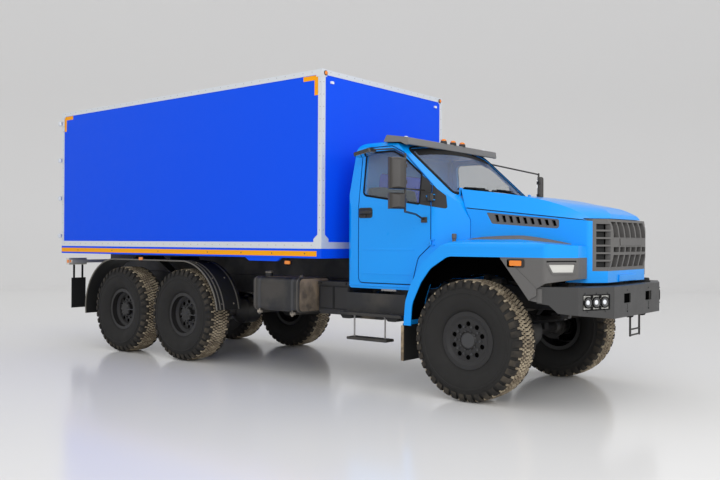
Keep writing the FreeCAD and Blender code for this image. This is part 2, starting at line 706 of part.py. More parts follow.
def screen_opening():
    """Prism through the windscreen, square to the glass."""
    slope = math.radians(screen_angle)
    normal = V(math.sin(slope), 0, math.cos(slope))
    along = V(-math.cos(slope), 0, math.sin(slope))
    base = V(screen_base_x, 0, screen_base_z) - normal * 260
    length = (cab_roof_z - 62 - screen_base_z) / math.sin(slope)

    foot = 16.0
    dip = 0.95 * screen_bow / math.tan(slope)
    foot_radius = 0.88 * glass_foot_half ** 2 / (2 * dip)

    def place(a, b):
        return base + along * a + V(0, b, 0)

    wire = rounded([(foot, glass_foot_half, 70), (length - 40, glass_head_half, 70),
                    (length - 40, -glass_head_half, 70), (foot, -glass_foot_half, 70),
                    (foot - 2 * dip, 0, foot_radius)], place)
    return Part.Face(wire).extrude(normal * 520)


def rear_opening():
    return front_prism([(-560, 2100, 60), (560, 2100, 60), (560, 2480, 60), (-560, 2480, 60)],
                       cab_rear_x - 100, cab_rear_x + 200)


def cab_shell(form, inner):
    """Hollow cab: roof, pillars, rear wall, floor and firewall, with its door and window openings cut."""
    shell = form.cut(inner)
    opening = side_prism(door_outline(), 880, 1300)
    shell = shell.cut([opening, mirrored(opening), screen_opening(), rear_opening()])
    wells = [upright(hinge_x, hinge_y, z - 24, z + 24, 17) for z in hinge_heights()]
    shell = shell.cut(wells + [mirrored(well) for well in wells])
    pins = hinge_pins()
    return shell.fuse(pins + [mirrored(pin) for pin in pins] + bonnet_pins())


def door(form, inner):
    """Left door, as thick as the cab's wall, with its window cut."""
    wall = form.cut(inner)
    leaf = wall.common(side_prism(door_outline(), 880, 1300, shut_gap))
    leaf = leaf.cut(side_prism(window_outline(), 500, 1300))
    leaf = leaf.cut([upright(hinge_x, hinge_y, z - 38, z + 38, hinge_pin_radius + 6) for z in hinge_heights()])
    eyes, bores = door_eyes()
    return leaf.fuse(eyes).cut(bores)


def hinge_heights():
    return [1640.0, 2130.0]


def door_eyes():
    """Eyes on the door that turn on the cab's hinge pins."""
    pieces, bores = [], []
    for z in hinge_heights():
        pieces.append(block(hinge_x - 60, hinge_x, hinge_y - 5, hinge_y + 5, z - 20, z + 20))
        pieces.append(block(hinge_x - 60, hinge_x - 30, hinge_y - 20, hinge_y + 2, z - 20, z + 20))
        pieces.append(upright(hinge_x, hinge_y, z - 20, z + 20, 12))
        bores.append(upright(hinge_x, hinge_y, z - 30, z + 30, hinge_pin_radius + run_gap))
    return pieces, bores


def hinge_pins():
    """Hinge pins on the left side of the cab, each held by two ears."""
    pieces = []
    for z in hinge_heights():
        pin = upright(hinge_x, hinge_y, z - 33, z + 33, hinge_pin_radius)
        ears = [block(hinge_x - 9, hinge_x + 45, hinge_y - 40, hinge_y + 9, low, low + 9) for low in (z - 33, z + 24)]
        ears = [ear.cut(block(hinge_x - 20, hinge_x + 8, hinge_y - 60, hinge_y - 2, low - 5, low + 20))
                for ear, low in zip(ears, (z - 33, z + 24))]
        pieces.append(pin.fuse(ears))
    return pieces


def glass_sheet():
    return cab_form(glass_inset).cut(cab_form(glass_inset + glass_thickness))


def seats():
    """Driver's seat and a double passenger seat on their boxes."""
    floor = cab_floor_z + cab_wall
    pieces = []
    for y0, y1 in ((260, 800), (-860, 60)):
        stand = block(-1480, -1060, y0 + 60, y1 - 60, floor, 1500)
        cushion = side_prism([(-1500, 1500, 30), (-985, 1500, 60), (-970, 1640, 60), (-1500, 1620, 30)], y0, y1)
        back = side_prism([(-1500, 1560, 30), (-1380, 1560, 30), (-1500, 2300, 50), (-1610, 2300, 50)], y0, y1)
        pieces.append(stand.fuse([cushion, back]).removeSplitter())
    return pieces


def dashboard(inner):
    """Dashboard filling the front of the cab under the windscreen."""
    body = side_prism([(-200, 1640), (-200, 2150, 20), (-420, 2120, 60), (-640, 2050, 40), (-650, 1900, 40),
                       (-560, 1700, 60)], -1200, 1200)
    return [body.common(inner).fuse(steering_wheel()).removeSplitter()]


def steering_wheel():
    centre = V(-860, 450, 1985)
    tilt = math.radians(58)
    axis = V(-math.sin(tilt), 0, math.cos(tilt))
    ring = Part.makeTorus(215, 17, centre, axis)
    hub = Part.makeCylinder(58, 40, centre - axis * 30, axis)
    spokes = []
    for direction in (V(0, 1, 0), V(0, -1, 0), V(-math.cos(tilt), 0, -math.sin(tilt))):
        spokes.append(rod(centre, centre + direction * 212, 13))
    column = rod(centre, centre - axis * 246, 34)
    return [ring.fuse([hub, column] + spokes)]


def sun_visor(form):
    """Peak over the windscreen, with its end plates."""
    half = 985.0
    peak = side_prism([(-1250, 2790, 10), (-1205, 2868, 30), (-905, 2820, 12), (-895, 2738, 12), (-935, 2738, 8),
                       (-1010, 2775, 30)], -half, half)
    under = side_prism([(-1240, 2700), (-1240, 2786), (-1195, 2848, 20), (-925, 2806, 10), (-915, 2700)],
                       -half + 14, half - 14)
    lips = peak.cut(under)
    lamps = []
    for y in (-208, 0, 208):
        lamps.append(Part.makeCylinder(32, 44, V(-937, y, 2816), V(0, 0, 1)))
    return [lips.fuse(lamps).cut(cab_form(-run_gap)).removeSplitter()]


# Bonnet, nose, grille

def nose_width(x):
    share = (x - cab_front_x) / (nose_corner_x - cab_front_x)
    return nose_half_width_rear + share * (nose_half_width_front - nose_half_width_rear)


def nose_plan(rear_x, inset=0.0, z0=600.0, z1=2600.0):
    """Plan form of the nose: a slightly bowed middle, swept corners and widening sides."""
    bow_x = nose_front_x - 18
    rear_x -= 20 * inset
    corners = [(nose_front_x - inset, 160, 1500), (bow_x - inset, nose_flat_half - 0.3 * inset, 60),
               (nose_corner_x - 0.54 * inset, nose_half_width_front - inset, 40),
               (rear_x, nose_width(rear_x) - inset)]
    return plan_prism(mirror_corners(corners), z0 - inset, z1 + inset)


def nose_form(inset=0.0):
    """Plan form of the nose, rounded as seen from the side."""
    side = [(-2500, 500), (nose_front_x - 56, 500), (nose_front_x - 50, 1380, 400), (nose_front_x, nose_bulge_z, 600),
            (nose_front_x - 26, 1800, 300), (nose_front_x - 66, 1900), (nose_front_x - 66, 2700), (-2500, 2700)]
    return nose_plan(-500, inset).common(side_prism(side, -1400, 1400, inset))


def seam_z(x):
    share = (x - cab_front_x) / (1125 - cab_front_x)
    return seam_rear_z + share * (seam_front_z - seam_rear_z)


def bonnet_section(x, crown_z, crease_y, crease_drop, drop):
    """Section across the bonnet: a crowned top between two creases, and flat sides down to the seam."""
    low = seam_z(x) - 300
    edge_y = nose_width(x)
    edge_z = seam_z(x)
    half = edge_y + 40

    def place(a, b):
        return V(x, a, b - drop)

    shoulder_y = 0.62 * crease_y
    shoulder_z = crown_z - 0.22 * crease_drop
    top = Part.BSplineCurve()
    top.interpolate([place(-crease_y, crown_z - crease_drop), place(-shoulder_y, shoulder_z), place(0, crown_z),
                     place(shoulder_y, shoulder_z), place(crease_y, crown_z - crease_drop)])
    pts = [place(crease_y, crown_z - crease_drop), place(edge_y, edge_z), place(half, edge_z - 60), place(half, low),
           place(-half, low), place(-half, edge_z - 60), place(-edge_y, edge_z), place(-crease_y, crown_z - crease_drop)]
    edges = [top.toShape()] + [Part.LineSegment(a, b).toShape() for a, b in zip(pts, pts[1:])]
    return Part.Wire(edges)


def bonnet_form(drop):
    """Lofted bonnet: its creases leave the crown gently and turn down towards the grille."""
    start_x = cab_front_x - 300
    reach = nose_corner_x + 30 - start_x
    sections = []
    for share in (0.0, 0.2, 0.4, 0.6, 0.75, 0.88, 1.0, 1.13):
        x = start_x + share * reach
        crown_z = bonnet_rear_z + share * (bonnet_front_z - bonnet_rear_z) + 140 * share ** 2 * (1 - share)
        crease_y = (0.915 - 0.118 * share ** 3) * nose_width(x)
        crease_drop = 162 * share ** 4.5 - 16
        sections.append(bonnet_section(x, crown_z, crease_y, crease_drop, drop))
    return Part.makeLoft(sections, True, False)


def cowl_cut(gap):
    """Space behind the front of the cab, for trimming what meets it."""
    low = block(-2500, cab_front_x + gap, -1400, 1400, 1000, cowl_lean_z)
    high = block(-2500, 400, -1400, 1400, cowl_lean_z, 2700)
    return low.fuse(cowl_cylinder(-gap).common(high))


def above_seam(gap):
    x0, x1 = -700.0, 1400.0
    return side_prism([(x0, seam_z(x0) + gap), (x1, seam_z(x1) + gap), (x1, 3000), (x0, 3000)], -1400, 1400)


def bonnet_nose(inset):
    """Side-view form that rounds the bonnet's front edge."""
    lip_x = nose_front_x - 62
    return side_prism([(-900, 1600), (lip_x + 6, 1600), (lip_x, grille_top_z, 20), (lip_x - 20, grille_top_z + 52, 60),
                       (lip_x - 166, bonnet_front_z + 22, 150), (-900, bonnet_front_z + 480)], -1400, 1400, inset)


def bonnet():
    """Opening top panel with its raised centre and bevelled sides."""
    outer = bonnet_form(0).common(nose_plan(-500)).common(bonnet_nose(0))
    inner = bonnet_form(panel_wall).common(nose_plan(-500, panel_wall)).common(bonnet_nose(panel_wall))
    panel = outer.cut(inner).common(above_seam(shut_gap))
    grille_half = grille_half_width + shut_gap
    over_grille = block(1000, 1400, -grille_half, grille_half, 1500, grille_top_z + shut_gap)
    return panel.cut([cowl_cut(shut_gap), over_grille]).fuse(bonnet_ears())


def bonnet_ears():
    """Ears at the back of the bonnet that turn on the cowl's pins."""
    ears = []
    x, z = bonnet_axis_x, bonnet_axis_z
    for y in (-bonnet_hinge_y, bonnet_hinge_y):
        strip = side_prism([(x, z + 12), (x, z - 12), (x + 30, z - 40), (x + 90, z - 56), (x + 90, z - 38),
                            (x + 30, z - 20)], y - 10, y + 10)
        eye = across(x, y - 10, y + 10, z, 14)
        bore = across(x, y - 20, y + 20, z, hinge_pin_radius + run_gap)
        ears.append(strip.fuse(eye).cut(bore))
    return ears


def bonnet_pins():
    """Posts with pins at the foot of the windscreen, for the bonnet."""
    pieces = []
    x, z = bonnet_axis_x, bonnet_axis_z
    for y in (-bonnet_hinge_y, bonnet_hinge_y):
        pin = across(x, y - 26, y + 26, z, hinge_pin_radius)
        posts = [block(x - 7, x + 11, y + k - 5, y + k + 5, screen_base_z - 30, z + 9) for k in (-21, 21)]
        pieces.append(pin.fuse(posts))
    return pieces


def vent_outline():
    return [(20, 1962, 8), (800, 1880, 20), (800, 1786, 30), (84, 1842, 30)]


def nose_panels():
    """Fixed side panels and the panel round and under the grille."""
    ring = nose_form(0).cut(nose_form(panel_wall))
    ring = ring.common(block(-500, 1400, -1300, 1300, nose_bottom_z, 2100))
    ring = ring.cut([above_seam(0), cowl_cut(shut_gap)])
    grille_hole = block(1000, 1400, -grille_half_width, grille_half_width, grille_bottom_z, 2100)
    plate = side_prism([(nose_front_x - 74, nose_bottom_z, 10), (nose_front_x - 40, nose_bottom_z, 10),
                        (nose_front_x - 36, nose_bottom_z + 74, 10), (nose_front_x - 74, nose_bottom_z + 74)], -235, 235)
    well = across(0, -1300, 1300, tyre_radius, tyre_radius + wheel_well_clear)
    return ring.cut([grille_hole, side_prism(vent_outline(), -1300, 1300), well]).fuse(plate)


def bonnet_vents():
    """Louvred inserts in the side panels."""
    ring = nose_plan(-500, 4.0).cut(nose_plan(-500, panel_wall))
    plate = ring.common(side_prism(vent_outline(), 500, 1300))
    slots = []
    for i in range(9):
        x = 110 + i * 76
        top = 1936 - i * 8.0
        low = 1862 - i * 6.0
        slots.append(side_prism([(x, top), (x + 40, top), (x + 56, low), (x + 22, low)], 400, 1400))
    return both(plate.cut(slots))


def grille():
    """Grille: upright bars crossed by a plain raised band, and swept bays with level fins."""
    half = grille_half_width
    skin = nose_form(0).cut(nose_form(grille_depth))
    body = skin.common(block(1000, 1400, -half, half, grille_bottom_z, grille_top_z))
    slots = []
    bar_pitch = 2 * nose_flat_half / 6
    rows = ((grille_bottom_z + 38, 1522), (1552, 1602), (1700, grille_top_z - 26))
    for i in range(6):
        y0 = -nose_flat_half + i * bar_pitch + grille_bar / 2
        for z0, z1 in rows:
            slots.append(block(1000, 1400, y0, y0 + bar_pitch - grille_bar, z0, z1))
    fin_pitch = (grille_top_z - grille_bottom_z - 70) / 6
    for s in (-1, 1):
        for i in range(6):
            z0 = grille_bottom_z + 38 + i * fin_pitch
            y0, y1 = sorted((s * (nose_flat_half + 24), s * (half - 36)))
            slots.append(block(1000, 1400, y0, y1, z0, z0 + fin_pitch - 18))
    band = nose_form(-9).cut(nose_form(6)).common(block(1000, 1400, -302, 302, 1618, 1688))
    return [body.cut(slots).fuse(band)]


# Wings, lamps, bumper

def wing_plan(inset=0.0):
    """Plan outline of the left wing, swept back at its outer corner."""
    return plan_prism([(-1000, 500), (wing_front_x, 500), (wing_front_x, wing_front_y),
                       (wing_corner_x, wing_y, 60), (-1000, wing_y)], 300, 2000, inset)


def wing_section(inset):
    """Section across the left wing: its top falls outward and rolls over the outer edge."""
    return front_prism([(300, 100), (300, wing_top_z + 22), (840, wing_top_z + 22), (wing_y, wing_top_z - 26, 56),
                        (wing_y, 100)], -1200, 1600, inset)


def wings():
    """Left wing: a thin shell trimmed to the cab and the side panel that it meets."""
    top_line = [(-786, 740), (-764, 1000, 300), (-690, 1200, 300), (-550, 1420, 260), (-330, 1600, 200),
                (-120, wing_top_z + 20, 200), (420, wing_top_z + 14, 400), (wing_front_x + 200, 1590)]
    outline = top_line + [(wing_front_x + 200, 300), (-786, 300)]
    solid = side_prism(outline, 500, 1400).common(wing_plan()).common(wing_section(0))
    inner = side_prism(outline, 400, 1400, wing_wall).common(wing_plan(wing_wall)).common(wing_section(wing_wall))
    inner_low = side_prism([(-774, 200), (-774, 760), (400, 760), (400, 200)], 400, wing_y - wing_wall)
    shell = solid.cut([inner, inner_low])
    arch = side_prism([(-694, 200), (-690, 780), (-676, 980, 300), (-560, 1215, 260), (-440, 1365, 200),
                       (-225, wing_lip_z, 160), (1500, wing_lip_z), (1500, 200)], 400, 1500)
    rear_strip = block(-900, -700, 400, wing_y - wing_wall, 740, 1500)
    shell = shell.cut(arch.cut(rear_strip))
    shell = shell.cut(block(-900, 1500, 300, 1500, 200, 740))
    shell = shell.cut([nose_plan(-400), cab_form(-shut_gap)])
    shell = shell.cut(block(-1000, cab_front_x + 10, 0, 840, 300, 1700))
    return shell


def lamp_trim():
    """Trim under the left wing that carries the headlamp and reaches down to the bumper."""
    outline = [(390, wing_lip_z), (712, 1078), (790, 1196, 10), (880, lamp_bottom_z), (1200, lamp_bottom_z + 60),
               (1200, wing_lip_z)]
    body = side_prism(outline, 500, 1400).common(wing_plan())
    body = body.cut(plan_prism(bumper_plan(), bumper_bottom_z, bumper_top_z + run_gap, -run_gap))
    hollow = wing_plan(lamp_wall).common(block(0, 1100, 400, 1400, 900, wing_lip_z - lamp_wall))
    lens = front_prism([(950, 1350, 10), (1150, 1350, 10), (1195, 1436, 10), (935, 1436, 10)], 800, 1200)
    body = body.cut([hollow, nose_plan(-400)])
    return body.cut(lens.common(wing_plan().cut(wing_plan(lamp_wall + 4))))


def headlamp():
    lens = front_prism([(950, 1350, 10), (1150, 1350, 10), (1195, 1436, 10), (935, 1436, 10)], 800, 1200)
    return lens.common(wing_plan(4).cut(wing_plan(lamp_wall)))


def bumper_plan():
    corners = [(bumper_front_x, bumper_half_flat), (bumper_fold_x, bumper_fold_y), (bumper_end_x, bumper_end_y)]
    return mirror_corners(corners)


def on_fold(shape, side):
    """Place a shape made about the origin, facing +X, on the middle of the bumper's slanted panel."""
    angle = math.degrees(math.atan2(bumper_front_x - bumper_fold_x, bumper_fold_y - bumper_half_flat))
    placed = shape.copy()
    placed.rotate(V(0, 0, 0), V(0, 0, 1), side * angle)
    middle_y = (bumper_half_flat + bumper_fold_y) / 2
    placed.translate(V((bumper_front_x + bumper_fold_x) / 2, side * middle_y, lamp_window_z))
    return placed


def bumper():
    """Folded steel bumper with lamp windows, towing slots and cut-away ends."""
    solid = plan_prism(bumper_plan(), bumper_bottom_z, bumper_top_z)
    inner = plan_prism(bumper_plan(), bumper_bottom_z - 10, bumper_top_z - bumper_wall, bumper_wall)
    depth = 190
    behind = plan_prism(mirror_corners([(bumper_front_x - depth, bumper_half_flat - 60),
                                        (bumper_fold_x - depth, bumper_fold_y - 90), (600, bumper_fold_y - 60)]),
                        bumper_bottom_z - 20, bumper_top_z + 20)
    shell = solid.cut([inner, behind])
    under = side_prism([(700, 800), (1400, 800), (1400, bumper_bottom_z), (bumper_front_x, bumper_bottom_z),
                        (bumper_fold_x, 948), (985, 962), (900, 1040), (700, 1066)], -1400, 1400)
    holes = [under]
    for s in (-1, 1):
        holes.append(block(1300, 1400, s * 300 - 88, s * 300 + 88, 1040, 1136))
        half = lamp_window_width / 2
        window = block(-60, 60, -half, half, -lamp_window_height / 2, lamp_window_height / 2)
        holes.append(on_fold(window, s))
    return [shell.cut(holes)]


def bumper_lamps():
    """Three round lamps in a plate behind each window of the bumper."""
    back = bumper_wall + run_gap
    half = lamp_window_width / 2 + 12
    tall = lamp_window_height / 2 + 10
    plate = block(-back - 10, -back, -half, half, -tall, tall)
    lamps = [rod(V(-back - 40, i * 112, 0), V(-bumper_wall + 8, i * 112, 0), 50) for i in (-1, 0, 1)]
    lamp_row = plate.fuse(lamps)
    return [on_fold(lamp_row, 1), on_fold(lamp_row, -1)]


def front_step():
    """Wire step that hangs from the lower edge of the bumper, left of the middle."""
    x = bumper_front_x - 80
    top = bumper_bottom_z + 20
    y0, y1 = -10.0, 250.0
    head = block(x - 14, bumper_front_x - bumper_wall - run_gap, y0 - 20, y1 + 20, top, top + 24)
    wires = [rod(V(x, y, 668), V(x, y, top + 12), 11) for y in (y0, y1)]
    wires += [rod(V(x, y0, z), V(x, y1, z), 9) for z in (680, 740)]
    return [head.fuse(wires)]


def cab_mounts():
    """Blocks on the rails that the cab stands on."""
    half = 38
    pieces = []
    for x in (-700, -1650):
        pieces += both(block(x, x + 90, rail_half_spacing - half, rail_half_spacing + half, rail_top_z, cab_floor_z - run_gap))
    return pieces


def bumper_brackets():
    """Plates from the rail ends to the back of the bumper."""
    bracket = block(rail_front_x, bumper_front_x - bumper_wall, rail_half_spacing - 38, rail_half_spacing + 38, 945, 1170)
    return both(bracket)


# Fittings along the frame

def fuel_tanks():
    """Rounded tank on each side, on its brackets."""
    y0, y1 = tank_outer_y - tank_depth, tank_outer_y
    top = tank_bottom_z + tank_height
    outline = [(y0, tank_bottom_z, 60), (y1, tank_bottom_z, 60), (y1, top, 60), (y0, top, 60)]
    tank = front_prism(outline, tank_front_x - tank_length, tank_front_x)
    cap = upright(tank_front_x - tank_length + 130, y1 - 150, top - 5, top + 46, 48)
    return both(tank.fuse(cap))


def tank_brackets():
    """Arms from the rails under the tanks."""
    pieces = []
    web = rail_half_spacing + rail_flange / 2
    for x in (tank_front_x - 110, tank_front_x - tank_length + 110):
        arm = front_prism([(web, 1100), (web, tank_bottom_z - 46), (tank_outer_y - 30, tank_bottom_z - 30),
                           (tank_outer_y - 30, tank_bottom_z), (tank_outer_y - tank_depth - 6, tank_bottom_z),
                           (tank_outer_y - tank_depth - 6, 1100)], x - 35, x + 35)
        pieces += both(arm)
    return pieces


def side_boxes():
    """Battery and air receiver boxes between tank and cab."""
    web = rail_half_spacing + rail_flange / 2
    lid = block(side_box_rear_x - 8, side_box_front_x + 8, web, 908, 1120, 1160)
    box = front_prism([(web, 760), (880, 760, 30), (900, 800, 30), (900, 1130), (web, 1130)],
                      side_box_rear_x, side_box_front_x)
    return both(box.fuse(lid))


def cab_steps():
    """Panel under each door, a tread tray, and a lower step hung on two rods."""
    x1, x0 = step_front_x, step_front_x - step_length
    web = rail_half_spacing + rail_flange / 2
    panel = block(x0 + 40, x1 - 20, 1070, 1094, 820, 1056)
    tray = side_prism([(x0, 806, 10), (x1, 806, 10), (x1, 836, 10), (x0, 836, 10)], 960, 1210)
    arms = [front_prism([(web, 1050), (web, 960), (920, 770, 20), (1160, 778), (1160, 820), (990, 820),
                         (web + 160, 1050)], x - 30, x + 30) for x in (x0 + 130, x1 - 170)]
    rods = [upright(x, 1160, 545, 815, 8) for x in (x0 + 210, x1 - 250)]
    low = side_prism([(x0 + 150, 530, 12), (x1 - 180, 530, 12), (x1 - 180, 562, 12), (x0 + 150, 562, 12)],
                     1090, 1230)
    return both(tray.fuse([panel, low] + arms + rods))


def guard_arc(cx, a0, a1, radius, width_y):
    """Curved sheet about an axle, between two angles measured from straight ahead."""
    outer = Part.makeCylinder(radius + guard_wall, width_y, V(cx, guard_y - width_y, tyre_radius), V(0, 1, 0))
    inner = Part.makeCylinder(radius, width_y + 20, V(cx, guard_y - width_y - 10, tyre_radius), V(0, 1, 0))
    ring = outer.cut(inner)
    reach = radius * 2
    pts = [(cx, tyre_radius)]
    for k in range(5):
        a = math.radians(a0 + (a1 - a0) * k / 4)
        pts.append((cx + reach * math.cos(a), tyre_radius + reach * math.sin(a)))
    return ring.common(side_prism(pts, guard_y - width_y - 20, guard_y + 20))


def rear_guards():
    """Mudguard over both rear wheels: two arcs joined by a level top, with the flap at the back."""
    front = guard_arc(middle_axle_x + guard_lead, 8, 90, guard_radius, guard_width)
    rear = guard_arc(rear_axle_x - guard_trail, 90, 188, guard_radius, guard_width)
    top_z = tyre_radius + guard_radius
    top = block(rear_axle_x - guard_trail, middle_axle_x + guard_lead, guard_y - guard_width, guard_y,
                top_z, top_z + guard_wall)
    web = rail_half_spacing + rail_flange / 2
    arms = []
    for x in (middle_axle_x - 300, rear_axle_x + 300):
        arms.append(front_prism([(web, rail_top_z - 90), (web, rail_top_z), (700, top_z + 55), (guard_y - 50, top_z + 55),
                                 (guard_y - 50, top_z + 5), (guard_y - guard_width, top_z + 5)], x - 25, x + 25))
    piece = front.fuse([rear, top] + arms)
    return both(piece)


def end_flaps():
    """Rubber flap behind each rear wheel, on a hanger from the lamp bar."""
    x = box_rear_x + 66
    y0, y1 = box_half_width - 385, box_half_width - 135
    top = box_floor_z - box_base_height - 185
    flap = block(x, x + 12, y0, y1, top - 690, top - 210)
    hangers = [block(x - 12, x, y - 15, y + 15, top - 260, top) for y in (y0 + 50, y1 - 50)]
    return both(flap.fuse(hangers))


def wing_flaps():
    """Rubber flap behind each front wheel."""
    flap = block(-798.3, -786.3, 850, 1216, 350, 760)
    return both(flap)


# Box body

def box_panels_side():
    """Left sandwich side panel between the edge profiles."""
    y1 = box_half_width - profile_stand
    return block(box_rear_x + profile_width, box_front_x - profile_width, y1 - box_wall + profile_stand, y1,
                 box_floor_z + low_profile_width, box_top_z - profile_width)


def box_front_panel():
    x1 = box_front_x - profile_stand
    half = box_half_width - profile_width
    return [block(x1 - box_wall + profile_stand, x1, -half, half, box_floor_z + low_profile_width,
                  box_top_z - profile_width)]


def box_roof_panel():
    z1 = box_top_z - profile_stand
    half = box_half_width - profile_width
    return [block(box_rear_x + profile_width, box_front_x - profile_width, -half, half, z1 - box_wall + profile_stand,
                  z1)]


def box_floor_panel():
    half = box_half_width - box_wall
    return [block(box_rear_x + profile_width, box_front_x - box_wall, -half, half, box_floor_z, box_floor_z + 60)]


def box_profiles():
    """Edge profiles of the box: every edge of the outline, with the rear left open for the doors."""
    half = box_half_width
    outer = block(box_rear_x, box_front_x, -half, half, box_floor_z, box_top_z)
    inner = block(box_rear_x - 10, box_front_x - box_wall, -half + box_wall, half - box_wall,
                  box_floor_z + 60, box_top_z - box_wall)
    shell = outer.cut(inner)
    p = profile_width
    low_z = box_floor_z + low_profile_width
    side_hole = block(box_rear_x + p, box_front_x - p, -half - 10, half + 10, low_z, box_top_z - p)
    front_hole = block(box_front_x - box_wall - 1, box_front_x + 10, -half + p, half - p, low_z, box_top_z - p)
    roof_hole = block(box_rear_x + p, box_front_x - p, -half + p, half - p, box_top_z - box_wall - 1, box_top_z + 10)
    floor_hole = block(box_rear_x + p, box_front_x - box_wall, -half + box_wall, half - box_wall,
                       box_floor_z - 10, box_floor_z + 61)
    door_space = block(box_rear_x - 10, box_rear_x + box_door_wall + 1, -half + 34, half - 34,
                       box_floor_z + 40, box_top_z - 44)
    frame = shell.cut([side_hole, front_hole, roof_hole, floor_hole, door_space])
    pins = strap_pins()
    return [frame.fuse(pins + [mirrored(pin) for pin in pins])]


def strap_heights():
    return [box_floor_z + share * box_height for share in (0.075, 0.357, 0.643, 0.92)]


def rear_door():
    """Left leaf of the rear doors with its lock rod and four hinge straps."""
    x0 = box_rear_x
    edge = box_half_width - 34 - shut_gap
    leaf = block(x0, x0 + box_door_wall, 3.5, edge, box_floor_z + 40 + shut_gap, box_top_z - 44 - shut_gap)
    bar = rod(V(x0 - lock_stand + 13, 150, box_floor_z + 60), V(x0 - lock_stand + 13, 150, box_top_z - 64), 13)
    pieces = [bar]
    for share in (0.052, 0.31, 0.69, 0.938):
        z = box_floor_z + share * box_height
        pieces.append(block(x0 - lock_stand + 4, x0 + 1, 120, 180, z - 25, z + 25))
    axis_x, axis_y = x0 - strap_axis_back, box_half_width + strap_axis_out
    bores = []
    for z in strap_heights():
        pieces.append(block(x0 - 13, x0 - 1.5, edge - 230, axis_y, z - 24, z + 24))
        pieces.append(block(x0 - 13, x0 + 1, edge - 230, edge - 20, z - 24, z + 24))
        pieces.append(block(axis_x - 14, x0 - 1.5, axis_y - 14, axis_y, z - 24, z + 24))
        pieces.append(upright(axis_x, axis_y, z - 24, z + 24, 14))
        bores.append(upright(axis_x, axis_y, z - 30, z + 30, strap_pin_radius + run_gap))
    return leaf.fuse(pieces).cut(bores).removeSplitter()


def strap_pins():
    """Pins on the left side of the body that carry the rear door, each between two ears."""
    x0 = box_rear_x
    axis_x, axis_y = x0 - strap_axis_back, box_half_width + strap_axis_out
    pieces = []
    for z in strap_heights():
        pin = upright(axis_x, axis_y, z - 42, z + 42, strap_pin_radius)
        ears = []
        for low in (z - 42, z + 30):
            ears.append(plan_prism([(axis_x - 12, axis_y + 12, 10), (axis_x - 12, axis_y - 14), (x0 + 6, box_half_width),
                                    (x0 + 70, box_half_width), (x0 + 70, box_half_width + 8, 4)], low, low + 12))
        plate = block(x0 + 20, x0 + 70, box_half_width, box_half_width + 8, z - 42, z + 42)
        pieces.append(pin.fuse(ears + [plate]))
    return pieces


def box_skirt():
    """Painted skirt round the underframe of the box."""
    half = box_half_width
    z0 = box_floor_z - box_base_height
    outer = block(box_rear_x, box_front_x, -half, half, z0, box_floor_z)
    inner = block(box_rear_x + skirt_wall, box_front_x - skirt_wall, -half + skirt_wall, half - skirt_wall,
                  z0 - 10, box_floor_z + 10)
    return [outer.cut(inner)]


def box_base():
    """Underframe of the box: cross bearers on two long sills."""
    half = box_half_width - skirt_wall
    z0 = box_floor_z - box_base_height
    pitch = (box_length - 2 * skirt_wall) / (bearer_count + 1)
    bearers = []
    for i in range(bearer_count):
        x = box_rear_x + skirt_wall + (i + 1) * pitch
        bearers.append(block(x - bearer_width / 2, x + bearer_width / 2, -half, half, z0, box_floor_z))
    return [box_sills()[0].fuse(bearers + box_sills()[1:]).removeSplitter()]


def box_sills():
    """Long beams that carry the box on the rails."""
    z0 = rail_top_z
    z1 = box_floor_z - box_base_height
    return both(block(box_rear_x + 100, box_front_x - 60, rail_half_spacing - 38, rail_half_spacing + 38, z0, z1))


def rear_lamps():
    """Tail lamp boxes on a bar under the back of the box."""
    x = box_rear_x + 30
    top = box_floor_z - box_base_height - 77
    lamp = block(x, x + 90, box_half_width - 375, box_half_width - 60, top - 108, top)
    arm = block(x + 90, x + 140, rail_half_spacing + 38, box_half_width - 85, top - 78, top - 28)
    return both(lamp.fuse(arm))


def tow_hitch():
    """Towing jaw on the rear cross member, bored upright for a drawbar pin."""
    x = rail_rear_x
    plate = block(x - 24, x + 5, -120, 120, 945, 1120)
    jaw = block(x - 125, x - 20, -62, 62, tow_z - 50, tow_z + 50)
    mouth = block(x - 140, x - 48, -80, 80, tow_z - 22, tow_z + 22)
    return [plate.fuse(jaw).cut([mouth, upright(x - 86, 0, tow_z - 60, tow_z + 60, tow_bore_radius)])]


def mirror_head(low, high, width, depth):
    """Mirror housing on the left side, rounded, with its glass side turned towards the driver."""
    corners = [(-depth / 2, -width / 2, 12), (depth / 2 - 10, -width / 2, 34), (depth / 2, 0, 200),
               (depth / 2 - 10, width / 2, 34), (-depth / 2, width / 2, 12)]
    head = plan_prism(corners, low, high)
    face = [(-width, low, 1), (-width, high, 1), (depth / 2 + 1, high, 40), (depth / 2 + 1, low, 40)]
    head = head.common(side_prism(face, -width, width))
    head.rotate(V(0, 0, 0), V(0, 0, 1), mirror_angle)
    head.translate(V(mirror_x, mirror_y, 0))
    return head


